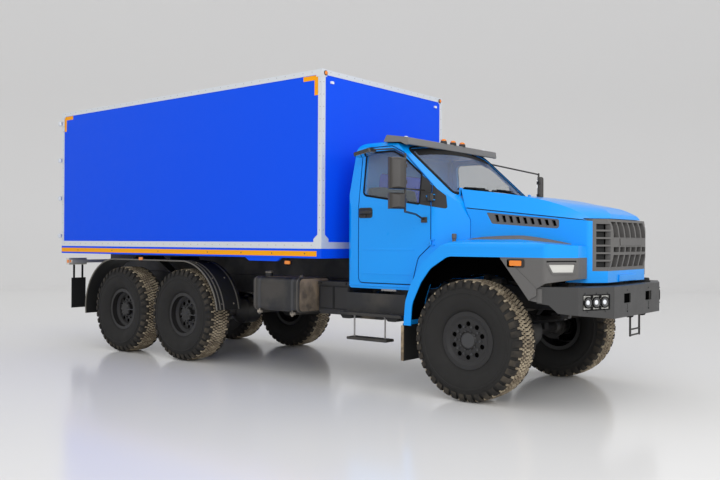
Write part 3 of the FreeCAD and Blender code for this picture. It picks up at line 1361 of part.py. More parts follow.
def mirrors(form):
    """Left mirror set on the door: main and wide-angle heads on an upright tube with three arms."""
    x, y = mirror_x + 24, mirror_y - 104
    side_y = cab_half_width
    tube = rod(V(x, y, 1960), V(x, y, 2560), 12)
    low_bend = V(mirror_x - 40, side_y + 170, 1942)
    arms = [rod(V(x, y, 1960), low_bend, 11), rod(low_bend, V(mirror_x - 56, side_y - 20, 1884), 11),
            rod(V(x, y, 2200), V(mirror_x - 62, side_y - 40, 2209), 9),
            rod(V(x, y, 2550), V(door_rear_x + 436, cab_roof_half_width, 2704), 10)]
    balls = [Part.makeSphere(12, V(x, y, 1960)), Part.makeSphere(12, V(x, y, 2558)), Part.makeSphere(11, low_bend)]
    pad = plan_prism([(mirror_x - 84, side_y - 30), (mirror_x - 84, side_y + 14, 8), (mirror_x - 8, side_y + 14, 8),
                      (mirror_x - 8, side_y - 30)], 1856, 1916)
    heads = [mirror_head(2190, 2520, 190, 84), mirror_head(1985, 2153, 185, 84)]
    clamps = [block(x - 20, x + 14, y - 18, y + 30, z - 20, z + 20) for z in (2072, 2270, 2440)]
    return heads[0].fuse([heads[1], tube, pad] + arms + balls + clamps).cut(form)


def kerb_mirror():
    """Small mirrors of the right side: one over the door that looks down, and a round one beside the main head."""
    x, y = mirror_x + 24, -mirror_y + 104
    foot = V(door_rear_x + 436, -cab_roof_half_width - 10, 2704)
    joint = V(door_rear_x + 262, -cab_half_width - 60, 2690)
    head = plan_prism([(-120, -95, 40), (120, -70, 30), (120, 70, 30), (-120, 95, 40)], -20, 20)
    head.rotate(V(0, 0, 0), V(0, 1, 0), -12)
    head.translate(V(door_rear_x + 156, -cab_half_width - 70, 2662))
    round_head = rod(V(mirror_x - 116, y + 10, 2490), V(mirror_x - 84, y + 4, 2490), 46)
    stem = rod(V(mirror_x - 90, y + 4, 2490), V(x, y, 2500), 9)
    return [rod(foot, joint, 9), head, round_head, stem]


def build():
    form = cab_form()
    inner = cab_form(cab_wall)
    sheet = glass_sheet()
    window = side_prism(window_outline(), 500, 1300)
    parts = {}
    casing = tyre()
    for name, x, side in (("front_left", 0.0, 1), ("front_right", 0.0, -1),
                          ("middle_left", middle_axle_x, 1), ("middle_right", middle_axle_x, -1),
                          ("rear_left", rear_axle_x, 1), ("rear_right", rear_axle_x, -1)):
        offset = front_disc_offset if x == 0.0 else rear_disc_offset
        cap = front_cap if x == 0.0 else rear_cap
        parts["tyre_" + name] = [placed_wheel(casing, x, side)]
        parts["rim_" + name] = [placed_wheel(rim(offset, cap), x, side)]
    parts["knuckle_left"] = [knuckle()]
    parts["knuckle_right"] = [mirrored(knuckle())]
    parts["tie_rod"] = [tie_rod()]
    parts["axles"] = [front_axle(), drive_axle(middle_axle_x), drive_axle(rear_axle_x)]
    parts["chassis_rails"] = chassis_rails()
    members = cross_members() + spring_hangers() + bumper_brackets() + tank_brackets() + cab_mounts()
    parts["frame_members"] = members
    parts["leaf_springs"] = leaf_springs()
    parts["prop_shafts"] = prop_shafts()
    parts["engine_and_gearbox"] = engine() + gearbox()
    parts["radiator_frame"] = front_bulkhead()
    parts["cab_shell"] = [cab_shell(form, inner)]
    parts["cab_glass"] = [sheet.common(screen_opening()), sheet.common(rear_opening())]
    left_door = door(form, inner)
    parts["door_left"] = [left_door]
    parts["door_right"] = [mirrored(left_door)]
    pane = sheet.common(window)
    parts["door_glass_left"] = [pane]
    parts["door_glass_right"] = [mirrored(pane)]
    left_mirrors = mirrors(form)
    parts["mirrors_left"] = [left_mirrors]
    parts["mirrors_right"] = [mirrored(left_mirrors).fuse(kerb_mirror()).cut(form)]
    parts["seats"] = seats()
    parts["dashboard"] = dashboard(inner)
    parts["sun_visor"] = sun_visor(form)
    parts["bonnet"] = [bonnet()]
    parts["nose_panels"] = [nose_panels()]
    parts["grilles"] = grille() + bonnet_vents()
    parts["wings"] = both(wings())
    parts["lamp_trims"] = both(lamp_trim())
    parts["front_lamps"] = both(headlamp()) + bumper_lamps()
    parts["bumper"] = bumper()
    parts["steps"] = front_step() + cab_steps()
    parts["fuel_tanks"] = fuel_tanks()
    parts["side_boxes"] = side_boxes()
    parts["mudguards"] = rear_guards() + wing_flaps() + end_flaps()
    side = box_panels_side()
    parts["box_panels"] = both(side) + box_front_panel() + box_roof_panel() + box_floor_panel() + box_skirt()
    parts["box_profiles"] = box_profiles()
    parts["box_door_left"] = [rear_door()]
    parts["box_door_right"] = [mirrored(rear_door())]
    parts["box_base"] = box_base()
    parts["rear_lamps"] = rear_lamps()
    return parts


def export(parts):
    os.makedirs("parts", exist_ok=True)
    for name, shapes in parts.items():
        solids = [solid for shape in shapes for solid in shape.Solids]
        node = Part.makeCompound(solids) if len(solids) > 1 else solids[0].copy()
        node.translate(V(origin_shift, 0, 0))
        node.exportStep("parts/" + name + ".step")


export(build())
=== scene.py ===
import json
import math

import bpy
import bmesh
from mathutils import Matrix, Vector


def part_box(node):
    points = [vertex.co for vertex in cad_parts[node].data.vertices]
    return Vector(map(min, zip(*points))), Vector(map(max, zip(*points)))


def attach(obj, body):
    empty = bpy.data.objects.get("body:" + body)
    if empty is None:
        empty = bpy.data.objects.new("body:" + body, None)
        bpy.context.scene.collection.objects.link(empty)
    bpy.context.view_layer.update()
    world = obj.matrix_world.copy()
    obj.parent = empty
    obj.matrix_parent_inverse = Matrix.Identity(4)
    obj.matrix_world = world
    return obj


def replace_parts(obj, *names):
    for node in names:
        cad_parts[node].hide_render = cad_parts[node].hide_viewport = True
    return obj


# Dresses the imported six-wheel-drive box truck: +X forward, +Y left, +Z up, metres.

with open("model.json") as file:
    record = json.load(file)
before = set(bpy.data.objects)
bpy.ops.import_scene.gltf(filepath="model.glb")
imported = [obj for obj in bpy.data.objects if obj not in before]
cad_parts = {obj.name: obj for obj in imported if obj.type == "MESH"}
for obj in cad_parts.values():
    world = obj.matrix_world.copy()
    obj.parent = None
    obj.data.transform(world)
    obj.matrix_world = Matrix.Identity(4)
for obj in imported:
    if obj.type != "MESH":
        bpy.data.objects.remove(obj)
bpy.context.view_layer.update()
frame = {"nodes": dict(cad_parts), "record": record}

RIGHT, LEFT = -1, 1
SIDES = {"right": RIGHT, "left": LEFT}
UP = Vector((0, 0, 1))
AHEAD = Vector((1, 0, 0))
REARWARD = Vector((-1, 0, 0))
FRONT_X = sum(c[0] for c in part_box("tyre_front_left")) / 2      # front axle
AXLE_Z = 0.63


def at(x, y, z):
    """A point given from the front axle, on the ground, in the middle of the track."""
    return Vector((FRONT_X + x, y, z))


def outward(side):
    return Vector((0, side, 0))


def arc(x, radius, angles):
    """Side-view points (x, z) round the axle at x."""
    return [Vector((x + radius * math.cos(math.radians(a)), AXLE_Z + radius * math.sin(math.radians(a))))
            for a in angles]


# Materials

def principled(name, colour, rough, metal=0.0, coat=0.0, **extra):
    """A material with one shader; extra names other inputs of it."""
    mat = bpy.data.materials.new(name)
    mat.use_nodes = True
    values = {"Base Color": (*colour, 1.0), "Roughness": rough, "Metallic": metal, "Coat Weight": coat}
    values.update((key.replace("_", " "), value) for key, value in extra.items())
    for key, value in values.items():
        mat.node_tree.nodes["Principled BSDF"].inputs[key].default_value = value
    return mat


def add_noise(mat, scale, detail, kind, source, target):
    """Noise in the object's own space, through a node of some kind, into an input of the shader."""
    tree = mat.node_tree
    coords = tree.nodes.new("ShaderNodeTexCoord")
    noise = tree.nodes.new("ShaderNodeTexNoise")
    through = tree.nodes.new(kind)
    noise.inputs["Scale"].default_value = scale
    noise.inputs["Detail"].default_value = detail
    tree.links.new(coords.outputs["Object"], noise.inputs["Vector"])
    tree.links.new(noise.outputs["Fac"], through.inputs[source])
    tree.links.new(through.outputs[0], tree.nodes["Principled BSDF"].inputs[target])
    return through


def add_grain(mat, scale, strength):
    """Fine grain on a surface."""
    bump = add_noise(mat, scale, 4.0, "ShaderNodeBump", "Height", "Normal")
    bump.inputs["Strength"].default_value = strength
    bump.inputs["Distance"].default_value = 0.002


def add_dust(mat, clean, dusty, scale, low=0.42, high=0.62):
    """Patches of dry dust over a base colour."""
    ramp = add_noise(mat, scale, 8.0, "ShaderNodeValToRGB", "Fac", "Base Color").color_ramp
    for element, position, colour in zip(ramp.elements, (low, high), (clean, dusty)):
        element.position = position
        element.color = (*colour, 1.0)


def uneven_gloss(mat):
    """Roughness that varies a little over the surface."""
    rough = mat.node_tree.nodes["Principled BSDF"].inputs["Roughness"].default_value
    spread = add_noise(mat, 7.0, 6.0, "ShaderNodeMapRange", "Value", "Roughness")
    spread.inputs["To Min"].default_value = rough * 0.8
    spread.inputs["To Max"].default_value = min(1.0, rough * 1.2)


# Base colour, roughness, metal and coat, with the specular level last where it is not the usual one
LOOKS = {
    "body_paint": ((0.0, 0.085, 0.9), 0.5, 0.0, 0.0, 0.15),
    "profile_aluminium": ((0.72, 0.75, 0.78), 0.38, 0.25),
    "black_steel": ((0.012, 0.012, 0.013), 0.5),
    "cast_metal": ((0.09, 0.09, 0.09), 0.6, 0.3),
    "dark_plastic": ((0.035, 0.034, 0.034), 0.55, 0.0, 0.0, 0.3),
    "trim_grey": ((0.13, 0.125, 0.12), 0.5, 0.0, 0.0, 0.35),
    "visor_grey": ((0.19, 0.185, 0.18), 0.5),
    "guard_plastic": ((0.014, 0.014, 0.014), 0.6, 0.0, 0.0, 0.3),
    "bumper_paint": ((0.052, 0.051, 0.05), 0.45, 0.0, 0.0, 0.4),
    "seat_fabric": ((0.04, 0.04, 0.043), 0.9),
    "lamp_glass": ((0.7, 0.69, 0.64), 0.12, 0.3),
    "lamp_bowl": ((0.1, 0.1, 0.1), 0.25, 0.7),
    "mirror_shell": ((0.035, 0.03, 0.026), 0.25),
    "wheel_paint": ((0.019, 0.018, 0.018), 0.42, 0.0, 0.0, 0.4),
    "tyre_rubber": ((0.022, 0.021, 0.02), 0.75, 0.0, 0.0, 0.25),
    "lug_rubber": ((0.05, 0.045, 0.04), 0.85, 0.0, 0.0, 0.3),
    "tread_rubber": ((0.05, 0.045, 0.04), 0.92, 0.0, 0.0, 0.2),
    "orange_tape": ((1.0, 0.4, 0.0), 0.5, 0.0, 0.0, 0.2),
    "amber_lens": ((0.9, 0.24, 0.01), 0.18, 0.0, 0.5),
    "red_lens": ((0.55, 0.01, 0.01), 0.18, 0.0, 0.5),
    "white_lens": ((0.85, 0.87, 0.9), 0.12, 0.0, 0.5),
    "mirror_glass": ((0.7, 0.72, 0.75), 0.03, 1.0),
    "seal_rubber": ((0.006, 0.006, 0.006), 0.7, 0.0, 0.0, 0.2),
    "shadow_black": ((0.002, 0.002, 0.002), 0.9, 0.0, 0.0, 0.0),
    "bolt_steel": ((0.06, 0.06, 0.062), 0.45, 0.4),
    "bright_steel": ((0.32, 0.31, 0.3), 0.4, 0.6),
    "gloss_plastic": ((0.02, 0.02, 0.021), 0.25),
    "grip_grey": ((0.17, 0.155, 0.145), 0.8, 0.0, 0.0, 0.3),
    "guard_edge": ((0.13, 0.12, 0.1), 0.35),
    "dusty_paint": ((0.11, 0.1, 0.09), 0.5),
    "bright_dust": ((0.3, 0.27, 0.23), 0.6, 0.3),
    "dry_mud": ((0.3, 0.22, 0.14), 0.9),
    "dry_dust": ((0.1, 0.08, 0.06), 0.85),
}
GRAIN = {"body_paint": (260.0, 0.08), "dark_plastic": (900.0, 0.15), "trim_grey": (900.0, 0.12),
         "visor_grey": (900.0, 0.12), "bumper_paint": (900.0, 0.12), "seat_fabric": (500.0, 0.3),
         "tyre_rubber": (240.0, 0.2), "grip_grey": (700.0, 0.5)}
DUST = {
    "tread_rubber": ((0.26, 0.21, 0.15), (0.5, 0.42, 0.3), 9.0),
    "lug_rubber": ((0.022, 0.02, 0.018), (0.075, 0.062, 0.046), 5.0, 0.45, 0.7),
    "dry_dust": ((0.06, 0.05, 0.04), (0.3, 0.23, 0.16), 4.0, 0.35, 0.6),
    "dry_mud": ((0.16, 0.12, 0.08), (0.42, 0.32, 0.2), 9.0),
    "bright_dust": ((0.12, 0.11, 0.1), (0.42, 0.37, 0.3), 14.0),
    "black_steel": ((0.014, 0.014, 0.015), (0.045, 0.04, 0.034), 3.0),
    "cast_metal": ((0.06, 0.058, 0.055), (0.2, 0.17, 0.13), 5.0),
}
MAT = {
    "cab_paint": principled("cab_paint", (0.0, 0.33, 0.96), 0.3, coat=0.3, Coat_Roughness=0.06,
                            Specular_IOR_Level=0.25),
    # Grey base colour on glass that is one fifth opaque: a painted reflection laid over the windows.
    "clear_glass": principled("clear_glass", (0.3, 0.34, 0.36), 0.03, Alpha=0.2),
}
for name, look in LOOKS.items():
    special = {"Specular_IOR_Level": look[4]} if len(look) > 4 else {}
    MAT[name] = principled(name, *look[:4], **special)
for name, values in GRAIN.items():
    add_grain(MAT[name], *values)
for name, values in DUST.items():
    add_dust(MAT[name], *values)
for mat in MAT.values():
    uneven_gloss(mat)

# CAD nodes take the look of their slot in the record, or one of their own
SLOTS = {part["node"]: part["material_slot"] for part in frame["record"]["subparts"]}
OWN_LOOK = {"sun_visor": "visor_grey", "lamp_trims": "trim_grey", "grilles": "trim_grey",
            "mirrors_left": "mirror_shell", "mirrors_right": "mirror_shell"}
for node, obj in frame["nodes"].items():
    obj.data.materials.clear()
    obj.data.materials.append(MAT[OWN_LOOK.get(node, SLOTS[node])])


# Making pieces

def new_mesh(name, maker, material, angle):
    """A mesh from maker, shaded smooth, with edges sharper than angle kept crisp."""
    mesh = bpy.data.meshes.new(name)
    bm = bmesh.new()
    maker(bm)
    bmesh.ops.recalc_face_normals(bm, faces=bm.faces)
    for face in bm.faces:
        face.smooth = True
    for edge in bm.edges:
        if len(edge.link_faces) != 2 or edge.calc_face_angle() > math.radians(angle):
            edge.smooth = False
    bm.to_mesh(mesh)
    bm.free()
    mesh.materials.append(MAT[material])
    return mesh


def linked(name, data):
    obj = bpy.data.objects.new(name, data)
    bpy.context.scene.collection.objects.link(obj)
    return obj


def add(name, material, maker, angle=30.0, body="truck"):
    """A piece in the truck's frame that rides on body."""
    obj = linked(name, new_mesh(name, maker, material, angle))
    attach(obj, body)
    return obj


def skin(bm, rings, closed=False, around=True):
    """Faces between rows of corners, and flat ends unless the rows close on themselves."""
    for lower, upper in zip(rings, rings[1:] + (rings[:1] if closed else [])):
        count = len(lower)
        for i in range(count if around else count - 1):
            j = (i + 1) % count
            bm.faces.new((lower[i], lower[j], upper[j], upper[i]))
    if not closed:
        bm.faces.new(list(reversed(rings[0])))
        bm.faces.new(rings[-1])


def hexa(bm, centre, along, across_a, across_b):
    """A block given by its centre and three half-edge vectors."""
    corners = []
    for i in (-1, 1):
        for j in (-1, 1):
            for k in (-1, 1):
                corners.append(bm.verts.new(centre + along * i + across_a * j + across_b * k))
    for face in ((0, 1, 3, 2), (4, 6, 7, 5), (0, 4, 5, 1), (2, 3, 7, 6), (0, 2, 6, 4), (1, 5, 7, 3)):
        bm.faces.new([corners[i] for i in face])


def ring(bm, centre, axis, radius, count):
    """Corners round an axis."""
    axis = axis.normalized()
    u = axis.cross(UP if abs(axis.z) < 0.9 else AHEAD).normalized()
    v = axis.cross(u).normalized()
    angles = [2 * math.pi * i / count for i in range(count)]
    return [bm.verts.new(centre + (u * math.cos(a) + v * math.sin(a)) * radius) for a in angles]


def lathe(bm, start, axis, profile, count, closed=False):
    """Surface of revolution: profile holds (distance along axis, radius)."""
    along = axis.normalized()
    skin(bm, [ring(bm, start + along * h, axis, radius, count) for h, radius in profile], closed)


def stud(bm, start, axis, radius, height, count=6):
    """Bolt head with a chamfered top and a thin washer under it."""
    lathe(bm, start, axis, [(-0.004, radius * 1.35), (0.003, radius * 1.35), (0.003, radius),
                            (height * 0.8, radius), (height, radius * 0.78)], count)


def dome(bm, start, axis, radius, height, count=20):
    """Round lens with a rim."""
    lathe(bm, start, axis, [(-0.003, radius), (height * 0.35, radius), (height * 0.7, radius * 0.86),
                            (height * 0.92, radius * 0.55), (height, radius * 0.18)], count)


def tube(bm, points, radius, count=8):
    """Round bar through points, mitred where it bends."""
    points = [Vector(p) for p in points]
    rings = []
    for i, here in enumerate(points):
        ahead = points[min(i + 1, len(points) - 1)] - here
        behind = here - points[max(i - 1, 0)]
        rings.append(ring(bm, here, ahead.normalized() + behind.normalized(), radius, count))
    skin(bm, rings)


# Surfaces to seat pieces on

bpy.context.view_layer.update()


def hit(node, start, direction):
    """Where a ray first meets a CAD node, and the surface's outward normal there."""
    obj = frame["nodes"][node]
    back = obj.matrix_world.inverted()
    aim = (back.to_3x3() @ Vector(direction)).normalized()
    found, place, normal, _ = obj.ray_cast(back @ Vector(start), aim)
    if not found:
        return None, None
    normal = (obj.matrix_world.to_3x3() @ normal).normalized()
    return obj.matrix_world @ place, normal if normal.dot(Vector(direction)) < 0 else -normal


def hits(node, starts, direction):
    """The places and normals of those rays that meet the node."""
    found = [hit(node, start, direction) for start in starts]
    found = [pair for pair in found if pair[0] is not None]
    return [place for place, _ in found], [normal for _, normal in found]


def rect(a0, b0, a1, b1, radius=0.0):
    """Corners of a rectangular outline."""
    return [(a0, b0, radius), (a1, b0, radius), (a1, b1, radius), (a0, b1, radius)]


def rounded(corners, steps=5):
    """Points of a closed outline through corners (a, b) or (a, b, radius)."""
    points = []
    count = len(corners)
    for i, corner in enumerate(corners):
        here = Vector(corner[:2])
        radius = corner[2] if len(corner) > 2 else 0.0
        u = (Vector(corners[i - 1][:2]) - here).normalized()
        w = (Vector(corners[(i + 1) % count][:2]) - here).normalized()
        if radius <= 0:
            points.append(here)
            continue
        half = u.angle(w) / 2
        centre = here + (u + w).normalized() * (radius / math.sin(half))
        start = here + u * (radius / math.tan(half)) - centre
        turn = start.angle_signed(here + w * (radius / math.tan(half)) - centre)
        for k in range(steps + 1):
            a = -turn * k / steps
            points.append(centre + Vector((start.x * math.cos(a) - start.y * math.sin(a),
                                           start.x * math.sin(a) + start.y * math.cos(a))))
    return points


def divided(points, longest, closed=True):
    """The same line with no run longer than a given length."""
    result = []
    last = len(points) if closed else len(points) - 1
    for i in range(last):
        a, b = points[i], points[(i + 1) % len(points)]
        n = max(1, math.ceil((b - a).length / longest))
        result += [a.lerp(b, k / n) for k in range(n)]
    if not closed:
        result.append(points[-1])
    return result


def grown(points, amount):
    """A closed flat outline moved outward."""
    area = sum(a.x * b.y - b.x * a.y for a, b in zip(points, points[1:] + points[:1]))
    sign = 1 if area > 0 else -1
    moved = []
    for i, here in enumerate(points):
        along = (points[(i + 1) % len(points)] - points[i - 1]).normalized()
        moved.append(here + Vector((along.y, -along.x)) * amount * sign)
    return moved


def strip(bm, places, normals, width, height, closed=True, sink=0.002):
    """Moulding along places, width across and height out of the surface; normals is one or a list."""
    if isinstance(normals, Vector):
        normals = [normals] * len(places)
    count = len(places)
    section = ((-1, -sink), (-1, height * 0.6), (-0.7, height), (0.7, height), (1, height * 0.6), (1, -sink))
    rings = []
    for i, here in enumerate(places):
        before = places[i - 1] if closed or i else here
        after = places[(i + 1) % count] if closed or i < count - 1 else here
        out = normals[i]
        across = (after - before).normalized().cross(out).normalized() * width / 2
        rings.append([bm.verts.new(here + across * a + out * h) for a, h in section])
    skin(bm, rings, closed)


def side_line(node, points, side):
    """Side-view points (x, z) seated on the outer side of a node, with its normals."""
    places, normals = [], []
    for p in points:
        place, normal = hit(node, at(p.x, side * 3.0, p.y), (0, -side, 0))
        if place is None and places:
            place = at(p.x, 0, p.y)
            place.y = places[-1].y
            normal = normals[-1]
        if place is not None:
            places.append(place)
            normals.append(normal)
    return places, normals


def side_strip(bm, node, corners, side, width, height):
    """Open moulding that follows a side-view line over the outer side of a node."""
    points = divided(rounded(corners), 0.06, False)
    strip(bm, *side_line(node, points, side), width, height, closed=False)


def prism(bm, corners, place, low, high):
    """Solid from a flat outline: place(a, b, h) gives a point at height h over its plane."""
    outline = rounded(corners)
    skin(bm, [[bm.verts.new(place(p.x, p.y, h)) for p in outline] for h in (low, high)])


def on_side(y, side):
    """Placing for outlines (x, z) on a flat side at distance y from the middle."""
    return lambda a, b, h: at(a, side * (y + h), b)


def on_front(x):
    """Placing for outlines (y, z) on a flat front face at x."""
    return lambda a, b, h: at(x + h, a, b)


def on_rear(x):
    """Placing for outlines (y, z) on a flat rear face at x."""
    return lambda a, b, h: at(x - h, a, b)


def on_top(z):
    """Placing for outlines (x, y) on a level face at z."""
    return lambda a, b, h: at(a, b, z + h)


def side_cover(bm, node, corners, side, lift, cell=0.05):
    """Thin cover on the outer side of a node, from a side-view outline (x, z)."""
    sink = 0.001
    flat = bmesh.new()
    flat.faces.new([flat.verts.new((p.x, p.y, 0)) for p in rounded(corners)])
    xs, ys = [v.co.x for v in flat.verts], [v.co.y for v in flat.verts]
    for axis, low, high in (((1, 0, 0), min(xs), max(xs)), ((0, 1, 0), min(ys), max(ys))):
        cuts = math.ceil((high - low) / cell)
        for k in range(1, cuts):
            bmesh.ops.bisect_plane(flat, geom=flat.verts[:] + flat.edges[:] + flat.faces[:], dist=1e-6,
                                   plane_co=Vector(axis) * (low + k * (high - low) / cuts), plane_no=axis)
    last = None
    tops, feet = {}, {}
    direction = outward(-side)
    for v in flat.verts:
        place, normal = hit(node, at(v.co.x, side * 3.0, v.co.y), direction)
        if place is None:
            place, normal = at(v.co.x, 0, v.co.y), (last[1] if last else -direction)
            if last:
                place += direction * (last[0] - place).dot(direction)
        last = (place, normal)
        tops[v] = bm.verts.new(place + normal * lift)
        feet[v] = bm.verts.new(place - normal * sink)
    for face in flat.faces:
        bm.faces.new([tops[v] for v in face.verts])
        bm.faces.new([feet[v] for v in reversed(face.verts)])
    for edge in flat.edges:
        if len(edge.link_faces) == 1:
            a, b = edge.verts
            bm.faces.new((tops[a], tops[b], feet[b], feet[a]))
    flat.free()


def shade_lining(bm, node, rays, nearest=0.0):
    """Thin dark skin of painted shade where a grid of rays meets a node; cells with a miss or a step between
    stay open.
    """
    grid = []
    for line in rays:
        row = []
        for start, direction in line:
            place, normal = hit(node, start, direction)
            near = place is not None and (place - start).length > nearest
            row.append((bm.verts.new(place + normal * 0.004), normal) if near else None)
        grid.append(row)
    for low, high in zip(grid, grid[1:]):
        for k in range(len(low) - 1):
            cell = (low[k], low[k + 1], high[k + 1], high[k])
            if None in cell or min(c[1].dot(cell[0][1]) for c in cell) < 0.6:
                continue
            if max((c[0].co - cell[0][0].co).length for c in cell) < 0.3:
                bm.faces.new([c[0] for c in cell])
    bmesh.ops.delete(bm, geom=[v for v in bm.verts if not v.link_faces], context="VERTS")


# Wheels and tyres

WHEELS = ("front_left", "front_right", "middle_left", "middle_right", "rear_left", "rear_right")
TYRE_LOW, TYRE_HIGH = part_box("tyre_front_left")
TYRE_RADIUS = (TYRE_HIGH[2] - TYRE_LOW[2]) / 2 - 0.0004
TYRE_HALF = (TYRE_HIGH[1] - TYRE_LOW[1]) / 2
TREAD_PITCHES = 38
SMALL_BLOCKS = 96
GROOVE = 0.022
BLOCK_FOOT = TYRE_RADIUS - GROOVE - 0.004
RIM_RADIUS = 0.3
AXLE = Vector((0, 1, 0))                # a wheel's own axle; its outer side is +Y


def round_wheel(radius, angle, y):
    """Point in a wheel's own frame."""
    return Vector((radius * math.cos(angle), y, radius * math.sin(angle)))


def casing(bm):
    """Tyre casing with bead, stepped sidewall and the floor of the tread grooves."""
    half = TYRE_HALF
    rim = RIM_RADIUS
    tread = TYRE_RADIUS - GROOVE
    side = [(rim - 0.03, 0.118), (rim + 0.004, 0.132), (rim + 0.012, 0.15), (rim + 0.03, 0.163),
            (rim + 0.07, half - 0.022), (rim + 0.115, half - 0.008), (rim + 0.15, half - 0.004),
            (rim + 0.185, half - 0.006), (rim + 0.19, half - 0.001), (rim + 0.205, half - 0.002),
            (rim + 0.209, half - 0.009), (rim + 0.245, half - 0.017), (tread - 0.03, half - 0.03),
            (tread - 0.01, half - 0.046), (tread - 0.001, half - 0.07), (tread + 0.004, 0.08),
            (tread + 0.006, 0.0)]
    profile = [(y, r) for r, y in side] + [(-y, r) for r, y in reversed(side[:-1])]
    lathe(bm, Vector(), AXLE, profile, 96, closed=True)


def tread_block(bm, path, a0, a1, skew, chamfer=0.006):
    """Raised block: path holds (y, radius, foot radius) from end to end, a0 and a1 are its edges."""
    c = chamfer / TYRE_RADIUS
    rows = []
    for i, (y, r, foot) in enumerate(path):
        turn = skew * i / (len(path) - 1)
        section = ((foot, a0 - c * 0.6), (r - chamfer, a0), (r, a0 + c), (r, a1 - c), (r - chamfer, a1),
                   (foot, a1 + c * 0.6))
        rows.append([bm.verts.new(round_wheel(radius, a + turn, y)) for radius, a in section])
    skin(bm, rows, around=False)


def shoulder_lugs(bm):
    """Wide lugs over both shoulders, every second one a little shorter."""
    pitch = 2 * math.pi / TREAD_PITCHES
    half, top, foot = TYRE_HALF, TYRE_RADIUS, BLOCK_FOOT
    for n in range(TREAD_PITCHES):
        edge, drop = (0.006, 0.07) if n % 2 else (0.01, 0.056)
        for s in (-1, 1):
            start = n * pitch + (0.5 * pitch if s > 0 else 0.0)
            lug = [(s * (half - 0.082), top - 0.005, foot), (s * (half - 0.045), top - 0.008, foot),
                   (s * (half - 0.026), top - 0.018, foot - 0.006),
                   (s * (half - 0.013), top - 0.045, foot - 0.036),
                   (s * (half - edge), top - drop, foot - 0.06)]
            tread_block(bm, lug, start, start + 0.6 * pitch, 0.1 * pitch)


def small_blocks(bm):
    """Small square blocks in slanting rows between the shoulder lugs, and one in each of their gaps."""
    foot = BLOCK_FOOT
    width = (TYRE_HALF - 0.086) / 3
    turn = 2 * math.pi / SMALL_BLOCKS
    for s in (-1, 1):
        for row in range(3):
            y0, y1 = row * width + 0.006, (row + 1) * width - 0.006
            top = TYRE_RADIUS - 0.0015 * row
            for n in range(SMALL_BLOCKS):
                a = (n + 0.37 * row * s) * turn
                block = [(s * y1, top, foot), (s * y0, top, foot)]
                tread_block(bm, block, a, a + 0.6 * turn, 0.1 * turn, 0.002)
        for n in range(TREAD_PITCHES):
            a = (n + (0.5 if s > 0 else 0.0) + 0.69) * 2 * math.pi / TREAD_PITCHES
            block = [(s * (3 * width + 0.03), TYRE_RADIUS - 0.008, foot),
                     (s * (3 * width + 0.004), TYRE_RADIUS - 0.005, foot)]
            tread_block(bm, block, a, a + 0.55 * turn, 0.05 * turn, 0.002)


def drum_shade_face(bm, front):
    """Face of the brake drum behind the holes of the disc, black with no specular: the drum's dark face with
    painted shade.
    """
    lathe(bm, AXLE * (0.094 if front else 0.008), AXLE,
          [(0, 0.125), (0, 0.206), (0.005, 0.212), (0.006, 0.206), (0.006, 0.125)], 40, closed=True)


def rim_fittings(bm, front):
    """Nuts, hub bolts, the front hub's cap and the rear wheels' tyre-pressure pipe."""
    face = 0.118 if front else 0.032
    for n in range(10):
        a = 2 * math.pi * n / 10
        if front:
            stud(bm, round_wheel(0.1, a, face), AXLE, 0.0085, 0.014)
        else:
            stud(bm, round_wheel(0.092, a, face + 0.043), AXLE, 0.012, 0.02)
        stud(bm, round_wheel(0.146 if front else 0.135, a, face), AXLE, 0.014, 0.018)
    if front:
        cap = [(0.0, 0.076), (0.011, 0.076), (0.014, 0.07), (0.014, 0.0)]
        lathe(bm, AXLE * (face - 0.002), AXLE, cap, 40)
    else:
        pipe = ((0.03, 0.062), (0.075, 0.078), (0.12, 0.07), (0.2, 0.085), (0.262, 0.07))
        tube(bm, [round_wheel(r, math.pi, face + lift) for r, lift in pipe], 0.008)


def wheels():
    """Tyre skins, nuts, hub bolts and drum faces of the six wheels; the drum faces carry painted shade."""
    tyre = [("tyre_casing", casing, "tyre_rubber", 40), ("tyre_lugs", shoulder_lugs, "lug_rubber", 25),
            ("tyre_tread", small_blocks, "tread_rubber", 25)]
    tyre = [(row[0], new_mesh(*row)) for row in tyre]
    hub = {}
    for front in (True, False):
        rows = [("front_bolts" if front else "rear_bolts", rim_fittings, "bolt_steel", 25),
                ("drum_shade_face", drum_shade_face, "shadow_black", 40)]
        hub[front] = [(label, new_mesh(label, lambda bm: maker(bm, front), *look))
                      for label, maker, *look in rows]
    for name in WHEELS:
        low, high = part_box("tyre_" + name)
        centre = Vector([(a + b) / 2 for a, b in zip(low, high)])
        turn = Matrix.Rotation(0.0 if centre.y > 0 else math.pi, 4, "Z")
        for label, mesh in tyre + hub[name.startswith("front")]:
            obj = linked(label + "_" + name, mesh)
            obj.matrix_world = Matrix.Translation(centre) @ turn
            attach(obj, "wheel_" + name)
            if label.startswith("tyre"):
                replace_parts(obj, "tyre_" + name)


# Cab

DOOR_WINDOW = [(-1.482, 2.204, 0.04), (-1.44, 2.184, 0.02), (-0.7, 2.07, 0.012), (-0.7, 2.386, 0.012),
               (-0.972, 2.602, 0.06), (-1.11, 2.668, 0.06), (-1.482, 2.668, 0.05)]
DOOR_REAR, DOOR_FRONT, DOOR_SILL, DOOR_TOP = -1.556, -0.537, 1.166, 2.744
DOOR_OUTLINE = [(DOOR_REAR, DOOR_SILL, 0.06), (-0.796, DOOR_SILL, 0.03), (-0.762, 1.25, 0.06),
                (-0.7, 1.47, 0.12), (DOOR_FRONT, 1.606, 0.06), (DOOR_FRONT, 2.274, 0.04),
                (-0.958, DOOR_TOP - 0.084, 0.09), (-1.13, DOOR_TOP, 0.09), (DOOR_REAR, DOOR_TOP, 0.09)]
MIRROR_TURN = math.radians(27)
KERB_MIRROR_TILT = math.radians(-12)


